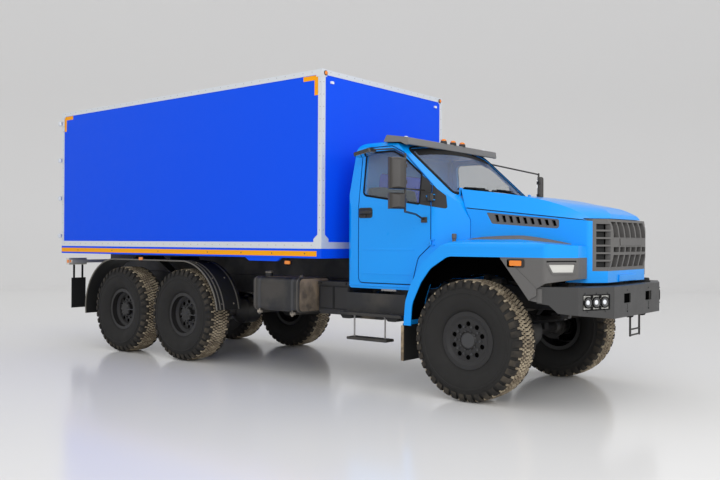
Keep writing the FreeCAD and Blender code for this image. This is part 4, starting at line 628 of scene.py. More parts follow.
def door_details(name, side):
    door = "door_" + name

    def line_round(outline, amount, longest):
        return side_line(door, divided(grown(rounded(outline), amount), longest), side)

    def rubber(bm):
        strip(bm, *line_round(DOOR_WINDOW, 0.008, 0.05), 0.022, 0.005)

    def handle_base(bm):
        side_cover(bm, door, rect(-1.545, 1.918, -1.345, 2.036, 0.03), side, 0.005)

    def handle_bar(bm):
        bar = [Vector((x, 1.984)) for x in (-1.532, -1.512, -1.378, -1.358)]
        places, normals = side_line(door, bar, side)
        lifts = (0.002, 0.03, 0.03, 0.002)
        for drop in (-0.009, 0.0, 0.009):
            tube(bm, [p + n * h + UP * drop for p, n, h in zip(places, normals, lifts)], 0.011, 10)
        places, normals = side_line(door, [Vector((-1.445, 1.941))], side)
        lathe(bm, places[0], normals[0], [(0.003, 0.017), (0.012, 0.016), (0.014, 0.012)], 20)

    def cover(bm):
        side_cover(bm, door, [(-0.69, 2.386), (-0.548, 2.279), (-0.548, 2.034), (-0.686, 2.057)], side, 0.004)
        side_cover(bm, door, [(-0.676, 2.092, 0.012), (-0.594, 2.08, 0.012), (-0.594, 2.166, 0.012),
                              (-0.676, 2.18, 0.012)], side, 0.012)

    def creases(bm):
        side_strip(bm, door, [(-1.49, 1.56), (-0.76, 1.56)], side, 0.03, 0.003)
        side_strip(bm, door, [(-1.49, 1.285), (-0.8, 1.285)], side, 0.022, 0.003)

    def shut_line(bm):
        strip(bm, *line_round(DOOR_OUTLINE, -0.0095, 0.06), 0.005, 0.0006)

    def hinge_sleeve(bm):
        profile = [(0, 0.03), (0.008, 0.041), (0.084, 0.041), (0.092, 0.03)]
        lathe(bm, at(-0.54, side * 1.066, 2.084), UP, profile, 24)

    add("door_shut_line_" + name, "seal_rubber", shut_line, 40, door)
    add("door_hinge_sleeve_" + name, "gloss_plastic", hinge_sleeve, 40, door)
    add("door_rubber_" + name, "seal_rubber", rubber, 40, door)
    add("door_handle_base_" + name, "dark_plastic", handle_base, body=door)
    add("door_handle_" + name, "gloss_plastic", handle_bar, 50, door)
    add("door_corner_cover_" + name, "dark_plastic", cover, body=door)
    add("door_creases_" + name, "cab_paint", creases, 70, door)


def cab_side_details(name, side):
    def cover(bm):
        corners = [(-0.534, 2.268), (-0.507, 2.247), (-0.39, 2.145, 0.02), (-0.376, 2.004, 0.02),
                   (-0.534, 2.031)]
        side_cover(bm, "cab_shell", corners, side, 0.004, cell=0.03)

    def sill(bm):
        side_strip(bm, "cab_shell", [(-1.69, 1.143), (-0.82, 1.143)], side, 0.018, 0.006)

    def plate(bm):
        prism(bm, rect(-1.23, side * 1.02, -1.02, side * 1.045, 0.01), on_top(1.1), -0.012, 0.011)
        for x in (-1.2, -1.05):
            stud(bm, at(x, side * 1.045, 1.094), outward(side), 0.007, 0.008)

    def bonnet_line(bm):
        # Thin black strip along the bonnet's lower edge: painted shade in the gap between bonnet and side
        # panel.
        along = [k * 0.05 for k in range(-4, 21)]
        places = [at(x, side * (0.851 - 0.138 * x), 1.99 - 0.112 * x) for x in along]
        strip(bm, places, Vector((0.137, side, 0)).normalized(), 0.009, 0.0012, closed=False)

    add("cab_corner_cover_" + name, "dark_plastic", cover)
    add("sill_strip_" + name, "cab_paint", sill)
    add("bonnet_gap_shade_" + name, "seal_rubber", bonnet_line, 40)
    add("sill_plate_" + name, "bright_steel", plate)


# The windscreen's plane: how far up it an outline point lies, then how far across the cab
SCREEN_SLOPE = math.radians(41.4)
SCREEN_OUT = Vector((math.sin(SCREEN_SLOPE), 0, math.cos(SCREEN_SLOPE)))
SCREEN_UP = Vector((-math.cos(SCREEN_SLOPE), 0, math.sin(SCREEN_SLOPE)))
SCREEN_DIP = 0.95 * 0.08 / math.tan(SCREEN_SLOPE)
SCREEN_FOOT, SCREEN_HALF = 0.016, 0.87
SCREEN_TOP = (2.8 - 0.062 - 2.169) / math.sin(SCREEN_SLOPE) - 0.04
SCREEN = [(SCREEN_FOOT, SCREEN_HALF, 0.07), (SCREEN_TOP, 0.88, 0.07), (SCREEN_TOP, -0.88, 0.07),
          (SCREEN_FOOT, -SCREEN_HALF, 0.07),
          (SCREEN_FOOT - 2 * SCREEN_DIP, 0, 0.88 * SCREEN_HALF ** 2 / (2 * SCREEN_DIP))]


def screen_foot(y):
    """How far up the glass its lower edge lies at y."""
    return SCREEN_FOOT - SCREEN_DIP * (1 - (y / SCREEN_HALF) ** 2)


def on_screen(node, points):
    """Points (up the glass, across) seated on a node under the windscreen's plane."""
    starts = [at(-0.353, p.y, 2.169) + SCREEN_UP * p.x + SCREEN_OUT * 0.4 for p in points]
    return hits(node, starts, -SCREEN_OUT)


def screen_details():
    outline = rounded(SCREEN, 9)

    def rubber(bm):
        strip(bm, *on_screen("cab_shell", divided(grown(outline, 0.011), 0.05)), 0.026, 0.006)

    def band(bm):
        strip(bm, *on_screen("cab_glass", divided(grown(outline, -0.022), 0.05)), 0.05, 0.0015)
        top = [Vector((SCREEN_TOP - 0.075, y * 0.1)) for y in range(-8, 9)]
        strip(bm, *on_screen("cab_glass", top), 0.09, 0.0012, closed=False)

    def wipers(bm):
        for pivot, tip in ((-0.22, -0.74), (0.4, -0.14)):
            across = [pivot + (tip - pivot) * k / 6 for k in range(7)]
            places, normals = on_screen("cab_glass", [Vector((screen_foot(y) + 0.085, y)) for y in across])
            strip(bm, places, normals, 0.012, 0.022, closed=False, sink=-0.002)
            tube(bm, [p + n * 0.03 for p, n in zip(places[1:6], normals[1:6])], 0.009)
            base, out = on_screen("cab_glass", [Vector((screen_foot(pivot) + 0.02, pivot))])
            foot, out = base[0], out[0]
            tube(bm, [foot + out * 0.004, foot + out * 0.032, places[3] + normals[3] * 0.03], 0.012)
            lathe(bm, foot - out * 0.004, out, [(0, 0.022), (0.03, 0.02), (0.036, 0.012)], 16)

    def rear_rubber(bm):
        points = divided(grown(rounded(rect(-0.56, 2.1, 0.56, 2.48, 0.06)), 0.01), 0.06)
        strip(bm, *hits("cab_shell", [at(-1.9, p.x, p.y) for p in points], AHEAD), 0.026, 0.006)

    add("windscreen_rubber", "seal_rubber", rubber, 40)
    add("windscreen_band", "seal_rubber", band, 40)
    add("wipers", "seal_rubber", wipers, 40)
    add("rear_window_rubber", "seal_rubber", rear_rubber, 40)


def visor_details():
    lamps = [at(-0.937, y, 2.848) for y in (-0.208, 0.0, 0.208)]

    def lenses(bm):
        for place in lamps:
            dome(bm, place, UP, 0.034, 0.03, 24)

    def bases(bm):
        for place in lamps:
            lathe(bm, place - UP * 0.03, UP, [(0, 0.042), (0.02, 0.04), (0.034, 0.0355)], 24)

    def markers(bm):
        for y in (-0.86, 0.86):
            dome(bm, *hit("sun_visor", at(-1.02, y, 3.0), -UP), 0.024, 0.014, 16)

    add("roof_lamp_lenses", "amber_lens", lenses, 50)
    add("roof_lamp_bases", "dark_plastic", bases, 40)
    add("visor_markers", "white_lens", markers, 50)


def mirror_details(name, side):
    def glass(bm):
        turn = Matrix.Rotation(side * MIRROR_TURN, 3, "Z")
        centre = at(-0.582, side * 1.62, 0)
        for low, high, half in ((2.21, 2.5, 0.082), (2.005, 2.133, 0.0795)):
            outline = [(-half, low, 0.02), (half, low, 0.02), (half, high, 0.03), (-half, high, 0.03)]
            prism(bm, outline, lambda a, b, h: centre + turn @ Vector((-0.042 - h, side * a, 0)) + UP * b,
                  -0.001, 0.003)

    def kerb_glass(bm):
        turn = Matrix.Rotation(KERB_MIRROR_TILT, 3, "Y")
        centre = at(-1.4, -1.13, 2.662)
        outline = [(-0.105, -0.078, 0.035), (0.105, -0.056, 0.025), (0.105, 0.056, 0.025),
                   (-0.105, 0.078, 0.035)]
        prism(bm, outline, lambda a, b, h: centre + turn @ Vector((a, b, -0.02 - h)), -0.001, 0.003)
        dome(bm, at(-0.698, -1.506, 2.49), REARWARD, 0.04, 0.008, 24)

    add("mirror_glass_" + name, "mirror_glass", glass, body="door_" + name)
    if side == RIGHT:
        add("kerb_mirror_glass", "mirror_glass", kerb_glass, 50, "door_" + name)


# Front

GRILLE_LOW, GRILLE_HIGH = 1.372, 1.874


def nose_front(y, z):
    place, _ = hit("grilles", at(2.0, y, z), REARWARD)
    return place.x - FRONT_X if place else 1.2


def grille_backing(bm, y_values):
    """Dark plate behind the grille, seated on the back of its frame."""
    columns = []
    for y in y_values:
        low, high = nose_front(y, GRILLE_LOW), nose_front(y, GRILLE_HIGH)
        columns.append([(low + (high - low) * k / 6, y, GRILLE_LOW + (GRILLE_HIGH - GRILLE_LOW) * k / 6)
                        for k in range(7)])
    skin(bm, [[bm.verts.new(at(x - back, y, z)) for back, points in ((0.0455, column), (0.05, column[::-1]))
               for x, y, z in points] for column in columns])


def vent_shade_backing(bm, side):
    """Dark plate inside the side panel behind its louvres, painted as the shade seen through them."""
    rows = []
    for i in range(13):
        x = -0.03 + 0.86 * i / 12
        place, _ = hit("nose_panels", at(x, side * 3.0, 1.74), outward(-side))
        y = place.y - side * 0.0245
        top, low = 1.99 - 0.1013 * x, 1.83 - 0.0694 * x
        rows.append([bm.verts.new(at(x, y - side * depth, z))
                     for depth, z in ((0, low), (0, top), (0.003, top), (0.003, low))])
    skin(bm, rows)


def front_details():
    """Mesh and dark backings of the grille and vents, the mesh and vent backings painted as the shade behind
    them, and both sides of the nose.
    """
    # No-specular black plate behind the grille's slots: the mesh there, with the shade behind it painted on.
    add("grille_mesh_shade", "shadow_black", lambda bm: grille_backing(bm, [-0.49 + 0.07 * k for k in range(15)]))
    for name, side in SIDES.items():
        outer = sorted(side * v for v in (0.492, 0.53, 0.57, 0.61, 0.64))
        add("grille_bay_" + name, "guard_plastic", lambda bm: grille_backing(bm, outer))
        add("vent_shade_backing_" + name, "shadow_black", lambda bm: vent_shade_backing(bm, side))
        arch_details(name, side)
        wing_details(name, side)
        bumper_details(name, side)

    def cap(bm):
        profile = [(0, 0.06), (0.012, 0.06), (0.018, 0.05), (0.038, 0.048), (0.046, 0.04)]
        lathe(bm, at(1.17, 0.66, 1.214), UP, profile, 24)

    def lugs(bm):
        for y in (-0.055, 0.29):
            prism(bm, [(1.24, 0.905), (1.24, 0.872, 0.012), (1.3, 0.872, 0.012), (1.3, 0.905)],
                  lambda a, b, h: at(a, y + h, b), -0.02, 0.02)
            stud(bm, at(1.3, y, 0.888), AHEAD, 0.008, 0.009)

    add("bumper_top_cap", "guard_plastic", cap, 40)
    add("step_lugs", "guard_plastic", lugs)


def arch_details(name, side):
    """Painted shade inside the wing and on the engine bay's side over the tyre: dark skins and a plate in
    no-specular black.
    """
    well = arc(0.0, 0.678, range(98, 64, -3))

    def bay_side(bm):
        corners = well + [(0.3, 1.244), (0.9, 1.244), (0.9, 1.6), (-0.1, 1.6)]
        side_cover(bm, "nose_panels", corners, side, 0.003)
        places = [at(x, side * (0.838 - 0.138 * x), z - 0.003) for x, z in well]
        normals = [(at(0, p.y, AXLE_Z) - p).normalized() for p in places]
        strip(bm, places, normals, 0.034, 0.001, closed=False)

    def rear_wall(bm):
        corners = [(-0.72, 1.18), (-0.56, 1.18), (-0.45, 1.232), (-0.32, 1.27), (-0.1, 1.296), (-0.06, 1.296),
                   (-0.06, 1.6), (-0.4, 1.6), (-0.62, 1.42), (-0.72, 1.25)]
        prism(bm, corners, on_side(0.874, side), -0.004, 0.0)

    def inside(bm):
        fan = [Vector((math.cos(math.radians(a)), 0, math.sin(math.radians(a)))) for a in range(24, 200, 4)]
        across = [at(0, side * (0.86 + 0.045 * k), 0.9) for k in range(8)]
        shade_lining(bm, "wings", [[(start, aim) for start in across] for aim in fan], 0.45)
        shade_lining(bm, "wings", [[(at(-0.77 + 0.02 * i, side, 0.78 + 0.02 * k), outward(side)) for k in range(45)]
                             for i in range(90)])
        shade_lining(bm, "cab_shell", [[(at(-0.15, side * 0.03 * i, 1.09 + 0.02 * k), REARWARD) for k in range(28)]
                                 for i in range(36)])

    add("bay_shade_skin_" + name, "shadow_black", bay_side, 40)
    add("arch_shade_wall_" + name, "shadow_black", rear_wall, 40)
    add("wing_shade_skin_" + name, "shadow_black", inside, 40)


def wing_details(name, side):
    """Grip strip, post, lamp rims and struts of one wing, and its flap's edge."""
    face = on_side(1.22, side)

    def grip(bm):
        rings = []
        for k in range(25):
            x = -0.15 + 1.08 * k / 24
            rise = UP * (0.036 * math.sin(math.pi * min(1.0, (k + 1) / 15 if k < 14 else (25 - k) / 11) / 2))
            inner = 0.858 - 0.138 * max(x, -0.1) + (0.03 if x < -0.02 else 0.0)
            outer = inner + 0.03 + 0.11 * math.sin(math.pi * (k + 1) / 26)
            edge, _ = hit("wings", at(x, side * outer, 3.0), -UP)
            foot, _ = hit("wings", at(x, side * (inner + 0.004), 3.0), -UP)
            if edge and foot:
                section = (foot - UP * 0.003, foot + rise, foot.lerp(edge, 0.25) + rise, edge + UP * 0.004,
                           edge - UP * 0.003)
                rings.append([bm.verts.new(v) for v in section])
        skin(bm, rings)

    def post(bm):
        place, _ = hit("wings", at(-0.25, side * 1.05, 3.0), -UP)
        profile = [(0, 0.03), (0.012, 0.028), (0.016, 0.02), (0.05, 0.02), (0.054, 0.026), (0.1, 0.026),
                   (0.106, 0.018)]
        lathe(bm, place - UP * 0.004, UP, profile, 20)

    def lamp_line(points):
        return hits("lamp_trims", [at(2.0, side * p.x, p.y) for p in points], REARWARD)

    def lamp_rim(bm):
        outline = [(0.95, 1.35, 0.01), (1.15, 1.35, 0.01), (1.195, 1.436, 0.01), (0.935, 1.436, 0.01)]
        strip(bm, *lamp_line(divided(grown(rounded(outline), 0.007), 0.05)), 0.024, 0.005)

    def brow(bm):
        points = [Vector((0.925 + 0.28 * k / 6, 1.461)) for k in range(7)]
        strip(bm, *lamp_line(points), 0.016, 0.003, closed=False)

    def strut(bm):
        corners = [(0.4, 1.484), (0.47, 1.484), (0.79, 1.2), (0.795, 1.13), (0.712, 1.084)]
        prism(bm, corners, face, -0.003, 0.006)

    def strut_foot(bm):
        corners = [(0.66, 1.15), (0.708, 1.079), (0.84, 1.058), (0.84, 1.195), (0.75, 1.195)]
        prism(bm, corners, on_side(1.2, side), -0.012, 0.004)

    def flap_edge(bm):
        prism(bm, rect(-0.816, 0.352, -0.785, 0.735, 0.005), on_side(1.216, side), -0.004, 0.007)
        for z in (0.42, 0.54, 0.66):
            stud(bm, at(-0.8, side * 1.222, z), outward(side), 0.006, 0.006)

    add("wing_grip_" + name, "grip_grey", grip, 40)
    add("wing_post_" + name, "dusty_paint", post, 40)
    add("indicator_base_" + name, "dark_plastic",
        lambda bm: prism(bm, rect(0.475, 1.398, 0.665, 1.482, 0.018), face, -0.002, 0.006))
    add("indicator_lens_" + name, "amber_lens",
        lambda bm: prism(bm, rect(0.505, 1.414, 0.635, 1.466, 0.01), face, 0.004, 0.012))
    add("trim_strut_" + name, "trim_grey", strut)
    add("trim_strut_foot_" + name, "trim_grey", strut_foot)
    add("headlamp_rim_" + name, "trim_grey", lamp_rim)
    add("headlamp_brow_" + name, "seal_rubber", brow)
    add("flap_edge_" + name, "dry_mud", flap_edge)


# The bumper's slanting end face, which carries three lamps, runs between these points (x, y)
FOLD_FRONT, FOLD_REAR = (1.338, 0.640), (1.165, 1.095)
FOLD_TURN = math.atan2(FOLD_FRONT[0] - FOLD_REAR[0], FOLD_REAR[1] - FOLD_FRONT[1])
LAMP_STEP = 0.112


def bumper_details(name, side):
    """The three lamps at one end of the bumper, with its bolts and the dark plates of painted shade in its
    holes.
    """
    centre = at((FOLD_FRONT[0] + FOLD_REAR[0]) / 2, side * (FOLD_FRONT[1] + FOLD_REAR[1]) / 2, 1.07)
    turn = Matrix.Rotation(side * FOLD_TURN, 3, "Z")
    out = turn @ AHEAD

    def fold(a, b, h):
        return centre + turn @ Vector((h, a, b))

    def rims(bm):
        profile = [(0, 0.056), (0.012, 0.056), (0.016, 0.052), (0.012, 0.047), (0.0, 0.047)]
        for i in (-1, 0, 1):
            lathe(bm, fold(i * LAMP_STEP, 0, -0.0045), out, profile, 32, closed=True)
        outline = divided(grown(rounded(rect(-0.175, -0.066, 0.175, 0.066)), 0.006), 0.1)
        strip(bm, [fold(p.x, p.y, 0) for p in outline], out, 0.012, 0.003)
        for i in (-1, 1):
            for j in (-1, 1):
                middle = fold(i * LAMP_STEP / 2, j * 0.052, -0.004)
                hexa(bm, middle, out * 0.004, turn @ Vector((0, 0.012, 0)), UP * 0.014)

    def bowls(bm):
        profile = [(0, 0.0465), (0.007, 0.0465), (0.001, 0.024), (0.0, 0.024)]
        for i in (-1, 0, 1):
            lathe(bm, fold(i * LAMP_STEP, 0, -0.004), out, profile, 32, closed=True)

    def bulbs(bm):
        for i in (-1, 0, 1):
            dome(bm, fold(i * LAMP_STEP, 0, -0.003), out, 0.024, 0.008, 24)

    def bolts(bm):
        for a, b in ((-0.15, 0.084), (0.0, 0.084), (0.15, 0.084), (-0.12, -0.084), (0.12, -0.084)):
            stud(bm, fold(a, b, 0), out, 0.008, 0.009)
        stud(bm, at(1.338, side * 0.3, 0.955), AHEAD, 0.009, 0.009)
        stud(bm, at(1.338, side * 0.3, 1.17), AHEAD, 0.006, 0.006)

    def hole_shade_plates(bm):
        # Black plates behind the tow slot and over the frame member seen through it: painted shade in the
        # bumper's holes.
        prism(bm, rect(side * 0.16, 1.02, side * 0.46, 1.16), on_front(1.318), 0.0, 0.004)
        prism(bm, rect(side * 0.3 - 0.003, 0.975, side * 0.3 + 0.003, 1.03), on_front(1.338), -0.001, 0.0008)

    add("bumper_lamp_rims_" + name, "seal_rubber", rims, 40)
    add("bumper_lamp_bowls_" + name, "lamp_bowl", bowls, 50)
    add("bumper_lamp_bulbs_" + name, "white_lens", bulbs, 50)
    add("bumper_bolts_" + name, "bolt_steel", bolts)
    add("bumper_hole_backs_" + name, "shadow_black", hole_shade_plates)


# Box body

BOX_FRONT, BOX_REAR, BOX_HALF = -1.934, -7.466, 1.275
BOX_FLOOR, BOX_TOP = 1.56, 3.67
PANEL_HALF = BOX_HALF - 0.004
PROFILE_WIDTH = 0.062
SIDE_MARKERS = (-5.42, -2.5)


def box_level(share):
    """Height at a share of the way from the body's floor to its top."""
    return BOX_FLOOR + share * (BOX_TOP - BOX_FLOOR)


def rivet(bm, x, y, z, axis):
    lathe(bm, at(x, y, z), axis, [(-0.001, 0.0055), (0.0012, 0.005), (0.0025, 0.0025)], 8)


def box_details():
    """Both sides of the body, its corner plates, front lamps and rivets."""
    for name, side in SIDES.items():
        box_side_details(name, side)

    def gussets(bm):
        for side in (RIGHT, LEFT):
            prism(bm, [(BOX_FRONT, 1.561), (BOX_FRONT, 1.73), (-1.99, 1.73, 0.01), (-2.058, 1.675, 0.01),
                       (-2.058, 1.561, 0.004)], on_side(BOX_HALF, side), -0.002, 0.0025)
            prism(bm, [(side * 1.277, 1.561), (side * 1.277, 1.73), (side * 1.22, 1.73, 0.01),
                       (side * 1.152, 1.675, 0.01), (side * 1.152, 1.561, 0.004)], on_front(BOX_FRONT),
                  -0.002, 0.0025)
            for z in (1.585, 1.64, 1.7):
                stud(bm, at(-1.965, side * (BOX_HALF + 0.002), z), outward(side), 0.006, 0.005, 8)
                stud(bm, at(BOX_FRONT + 0.002, side * 1.244, z), AHEAD, 0.006, 0.005, 8)

    def corner_caps(bm):
        low = BOX_TOP - 0.085
        for x, inward in ((BOX_FRONT - 0.003, -1), (BOX_REAR + 0.003, 1)):
            for side in (RIGHT, LEFT):
                corners = [(0, 0), (inward * 0.088, 0), (inward * 0.088, 0.05, 0.01),
                           (inward * 0.06, 0.088, 0.01), (0, 0.088)]
                plane = lambda a, b, h: at(x + a, side * (BOX_HALF - 0.002 + h), low + b)
                prism(bm, corners, plane, 0.0, 0.005)
                if inward < 0:
                    prism(bm, [(side * 1.278, 0), (side * 1.19, 0), (side * 1.19, 0.05, 0.01),
                               (side * 1.218, 0.088, 0.01), (side * 1.278, 0.088)],
                          lambda a, b, h: at(BOX_FRONT - 0.002 + h, a, low + b), 0.0, 0.005)

    def amber(bm):
        for side in (RIGHT, LEFT):
            dome(bm, at(BOX_FRONT + 0.006, side * 1.215, 3.628), AHEAD, 0.024, 0.018)

    def amber_rims(bm):
        for side in (RIGHT, LEFT):
            place = at(BOX_FRONT + 0.002, side * 1.215, 3.628)
            lathe(bm, place, AHEAD, [(0, 0.03), (0.006, 0.03), (0.009, 0.025)], 24)

    def white(bm):
        for y in (-1.1, 1.1):
            corners = rect(y - 0.028, 3.515, y + 0.028, 3.545, 0.008)
            prism(bm, corners, on_front(BOX_FRONT - 0.004), -0.001, 0.016)

    def rivets(bm):
        for side in (RIGHT, LEFT):
            for k in range(37):
                x = BOX_REAR + 0.09 + (BOX_FRONT - BOX_REAR - 0.25) * k / 36
                for z in (BOX_TOP - 0.022, 1.6):
                    rivet(bm, x, side * BOX_HALF, z, outward(side))
            for k in range(13):
                z = 1.78 + 1.74 * k / 12
                for x in (BOX_FRONT - 0.03, BOX_REAR + 0.03):
                    rivet(bm, x, side * BOX_HALF, z, outward(side))
                rivet(bm, BOX_FRONT, side * 1.245, z, AHEAD)
        for k in range(16):
            rivet(bm, BOX_FRONT, -1.12 + 2.24 * k / 15, BOX_TOP - 0.022, AHEAD)

    add("box_gussets", "profile_aluminium", gussets)
    add("box_corner_caps", "profile_aluminium", corner_caps)
    add("box_front_lamps", "amber_lens", amber, 50)
    add("box_front_lamp_rims", "seal_rubber", amber_rims, 40)
    add("box_front_markers", "white_lens", white)
    add("profile_rivets", "bright_steel", rivets, 60)


def box_side_details(name, side):
    """Tape, screws and side markers of one side of the body."""
    def tape(bm):
        corners = rect(BOX_REAR + 0.004, 1.469, BOX_FRONT - 0.075, 1.531)
        prism(bm, corners, on_side(BOX_HALF, side), -0.001, 0.001)
        top = BOX_TOP - PROFILE_WIDTH - 0.004
        wide, arm = 0.056, 0.235
        for x, inward in ((BOX_FRONT - 0.066, -1), (BOX_REAR + 0.066, 1)):
            corners = [(x, top), (x + inward * arm, top), (x + inward * arm, top - wide),
                       (x + inward * wide, top - wide), (x + inward * wide, top - arm), (x, top - arm)]
            prism(bm, corners, on_side(PANEL_HALF, side), -0.001, 0.001)

    def screws(bm):
        profile = [(-0.001, 0.009), (0.002, 0.008), (0.004, 0.005)]
        for x in (-7.0, -6.1, -5.0, -3.95, -3.3, -2.75, -2.2):
            lathe(bm, at(x, side * (BOX_HALF + 0.001), 1.5), outward(side), profile, 12)

    def skirt_piece(bm):
        prism(bm, [(-3.23, 1.4455), (-3.16, 1.402, 0.01), (-2.67, 1.402, 0.01), (-2.6, 1.4455)],
              on_side(BOX_HALF - 0.03, side), -0.012, 0.026)

    def marker_brackets(bm):
        for x in SIDE_MARKERS:
            corners = [(x - 0.03, 1.4455), (x - 0.03, 1.35, 0.01), (x + 0.03, 1.35, 0.01), (x + 0.03, 1.4455)]
            prism(bm, corners, on_side(1.24, side), -0.004, 0.0)
            prism(bm, rect(x - 0.052, 1.362, x + 0.052, 1.416, 0.008), on_side(1.24, side), -0.001, 0.01)

    def markers(bm):
        for x in SIDE_MARKERS:
            prism(bm, rect(x - 0.043, 1.369, x + 0.043, 1.409, 0.008), on_side(1.24, side), 0.008, 0.022)

    add("contour_tape_" + name, "orange_tape", tape)
    add("skirt_screws_" + name, "bolt_steel", screws, 50)
    add("skirt_piece_" + name, "body_paint", skirt_piece)
    add("side_marker_brackets_" + name, "seal_rubber", marker_brackets)
    add("side_markers_" + name, "amber_lens", markers)


def box_rear_details():
    """Seals, hinge plates and handles of the rear doors, and the tail lamps."""
    plane = on_rear(BOX_REAR)
    for name, side in SIDES.items():
        door = "box_door_" + name

        def seal(bm):
            points = divided([Vector(p[:2]) for p in rect(0.0045, 1.609, 1.232, 3.617)], 0.4)
            strip(bm, [plane(side * p.x, p.y, 0) for p in grown(points, -0.012)], REARWARD, 0.02, 0.004)

        def hinge_plates(bm):
            for share in (0.075, 0.357, 0.643, 0.92):
                z = box_level(share)
                corners = [(side, z - 0.026, 0.01), (side * 1.292, z - 0.026), (side * 1.292, z + 0.026),
                           (side, z + 0.026, 0.01)]
                prism(bm, corners, plane, 0.0125, 0.0165)
                sleeve = [(0, 0.027), (0.003, 0.0295), (0.053, 0.0295), (0.056, 0.027)]
                lathe(bm, at(BOX_REAR - 0.025, side * 1.297, z - 0.028), UP, sleeve, 24)
                for y in (1.03, 1.09, 1.15, 1.21):
                    stud(bm, at(BOX_REAR - 0.016, side * y, z), REARWARD, 0.008, 0.008)

        def handle(bm):
            x = BOX_REAR - 0.04
            tube(bm, [at(x, side * y, z) for y, z in ((0.15, 2.12), (0.19, 2.12), (0.42, 2.09))], 0.01, 10)
            lathe(bm, at(x + 0.013, side * 0.15, 2.09), UP, [(0, 0.02), (0.06, 0.02)], 20)
            prism(bm, rect(side * 0.4, 2.05, side * 0.46, 2.13, 0.01), plane, -0.001, 0.03)

        def rod_guides(bm):
            for share in (0.052, 0.31, 0.69, 0.938):
                for dy in (-0.045, 0.045):
                    stud(bm, at(BOX_REAR, side * 0.15 + dy, box_level(share)), REARWARD, 0.008, 0.009)
            for z in (BOX_FLOOR + 0.06, BOX_TOP - 0.094):
                lathe(bm, at(BOX_REAR - 0.027, side * 0.15, z), UP, [(0, 0.017), (0.03, 0.017)], 16)

        add("rear_door_seal_" + name, "seal_rubber", seal, body=door)
        add("rear_hinge_plates_" + name, "profile_aluminium", hinge_plates, body=door)
        add("rear_handle_" + name, "bright_steel", handle, 40, door)
        add("rear_rod_guides_" + name, "bright_steel", rod_guides, 40, door)

        for colour, y0, y1 in (("amber", 1.1, 1.2), ("red", 0.995, 1.095), ("white", 0.91, 0.99)):
            def tail(bm):
                corners = rect(side * y0, 1.275, side * y1, 1.353, 0.012)
                prism(bm, corners, on_rear(BOX_REAR + 0.03), -0.001, 0.008)
                across = [side * y for y in (y0 + 0.008, (y0 + y1) / 2, y1 - 0.008)]
                for k in range(5):
                    places = [at(BOX_REAR + 0.022, y, 1.287 + 0.013 * k) for y in across]
                    strip(bm, places, REARWARD, 0.006, 0.002, closed=False)
            add("tail_%s_%s" % (colour, name), colour + "_lens", tail)

        def tail_side(bm):
            prism(bm, rect(BOX_REAR + 0.07, 1.29, BOX_REAR + 0.115, 1.34, 0.006), on_side(1.215, side),
                  -0.001, 0.008)
            prism(bm, rect(side * 1.15, 1.295, side * 1.205, 1.335, 0.006), on_front(BOX_REAR + 0.12),
                  -0.001, 0.008)
        add("tail_side_lamp_" + name, "amber_lens", tail_side)


# Frame, tanks and guards

TANK_FRONT, TANK_REAR = -2.36, -3.1465
TANK_INNER, TANK_OUTER, TANK_LOW, TANK_HIGH = 0.64, 1.2, 0.78, 1.2
GUARD_FRONT_X, GUARD_REAR_X = -4.515, -6.075            # middles of the rear mudguard's two arcs
GUARD_RADIUS = 0.742
LANDING_TREAD, WIRE_TREAD = 0.836, 0.562                # levels of the two steps


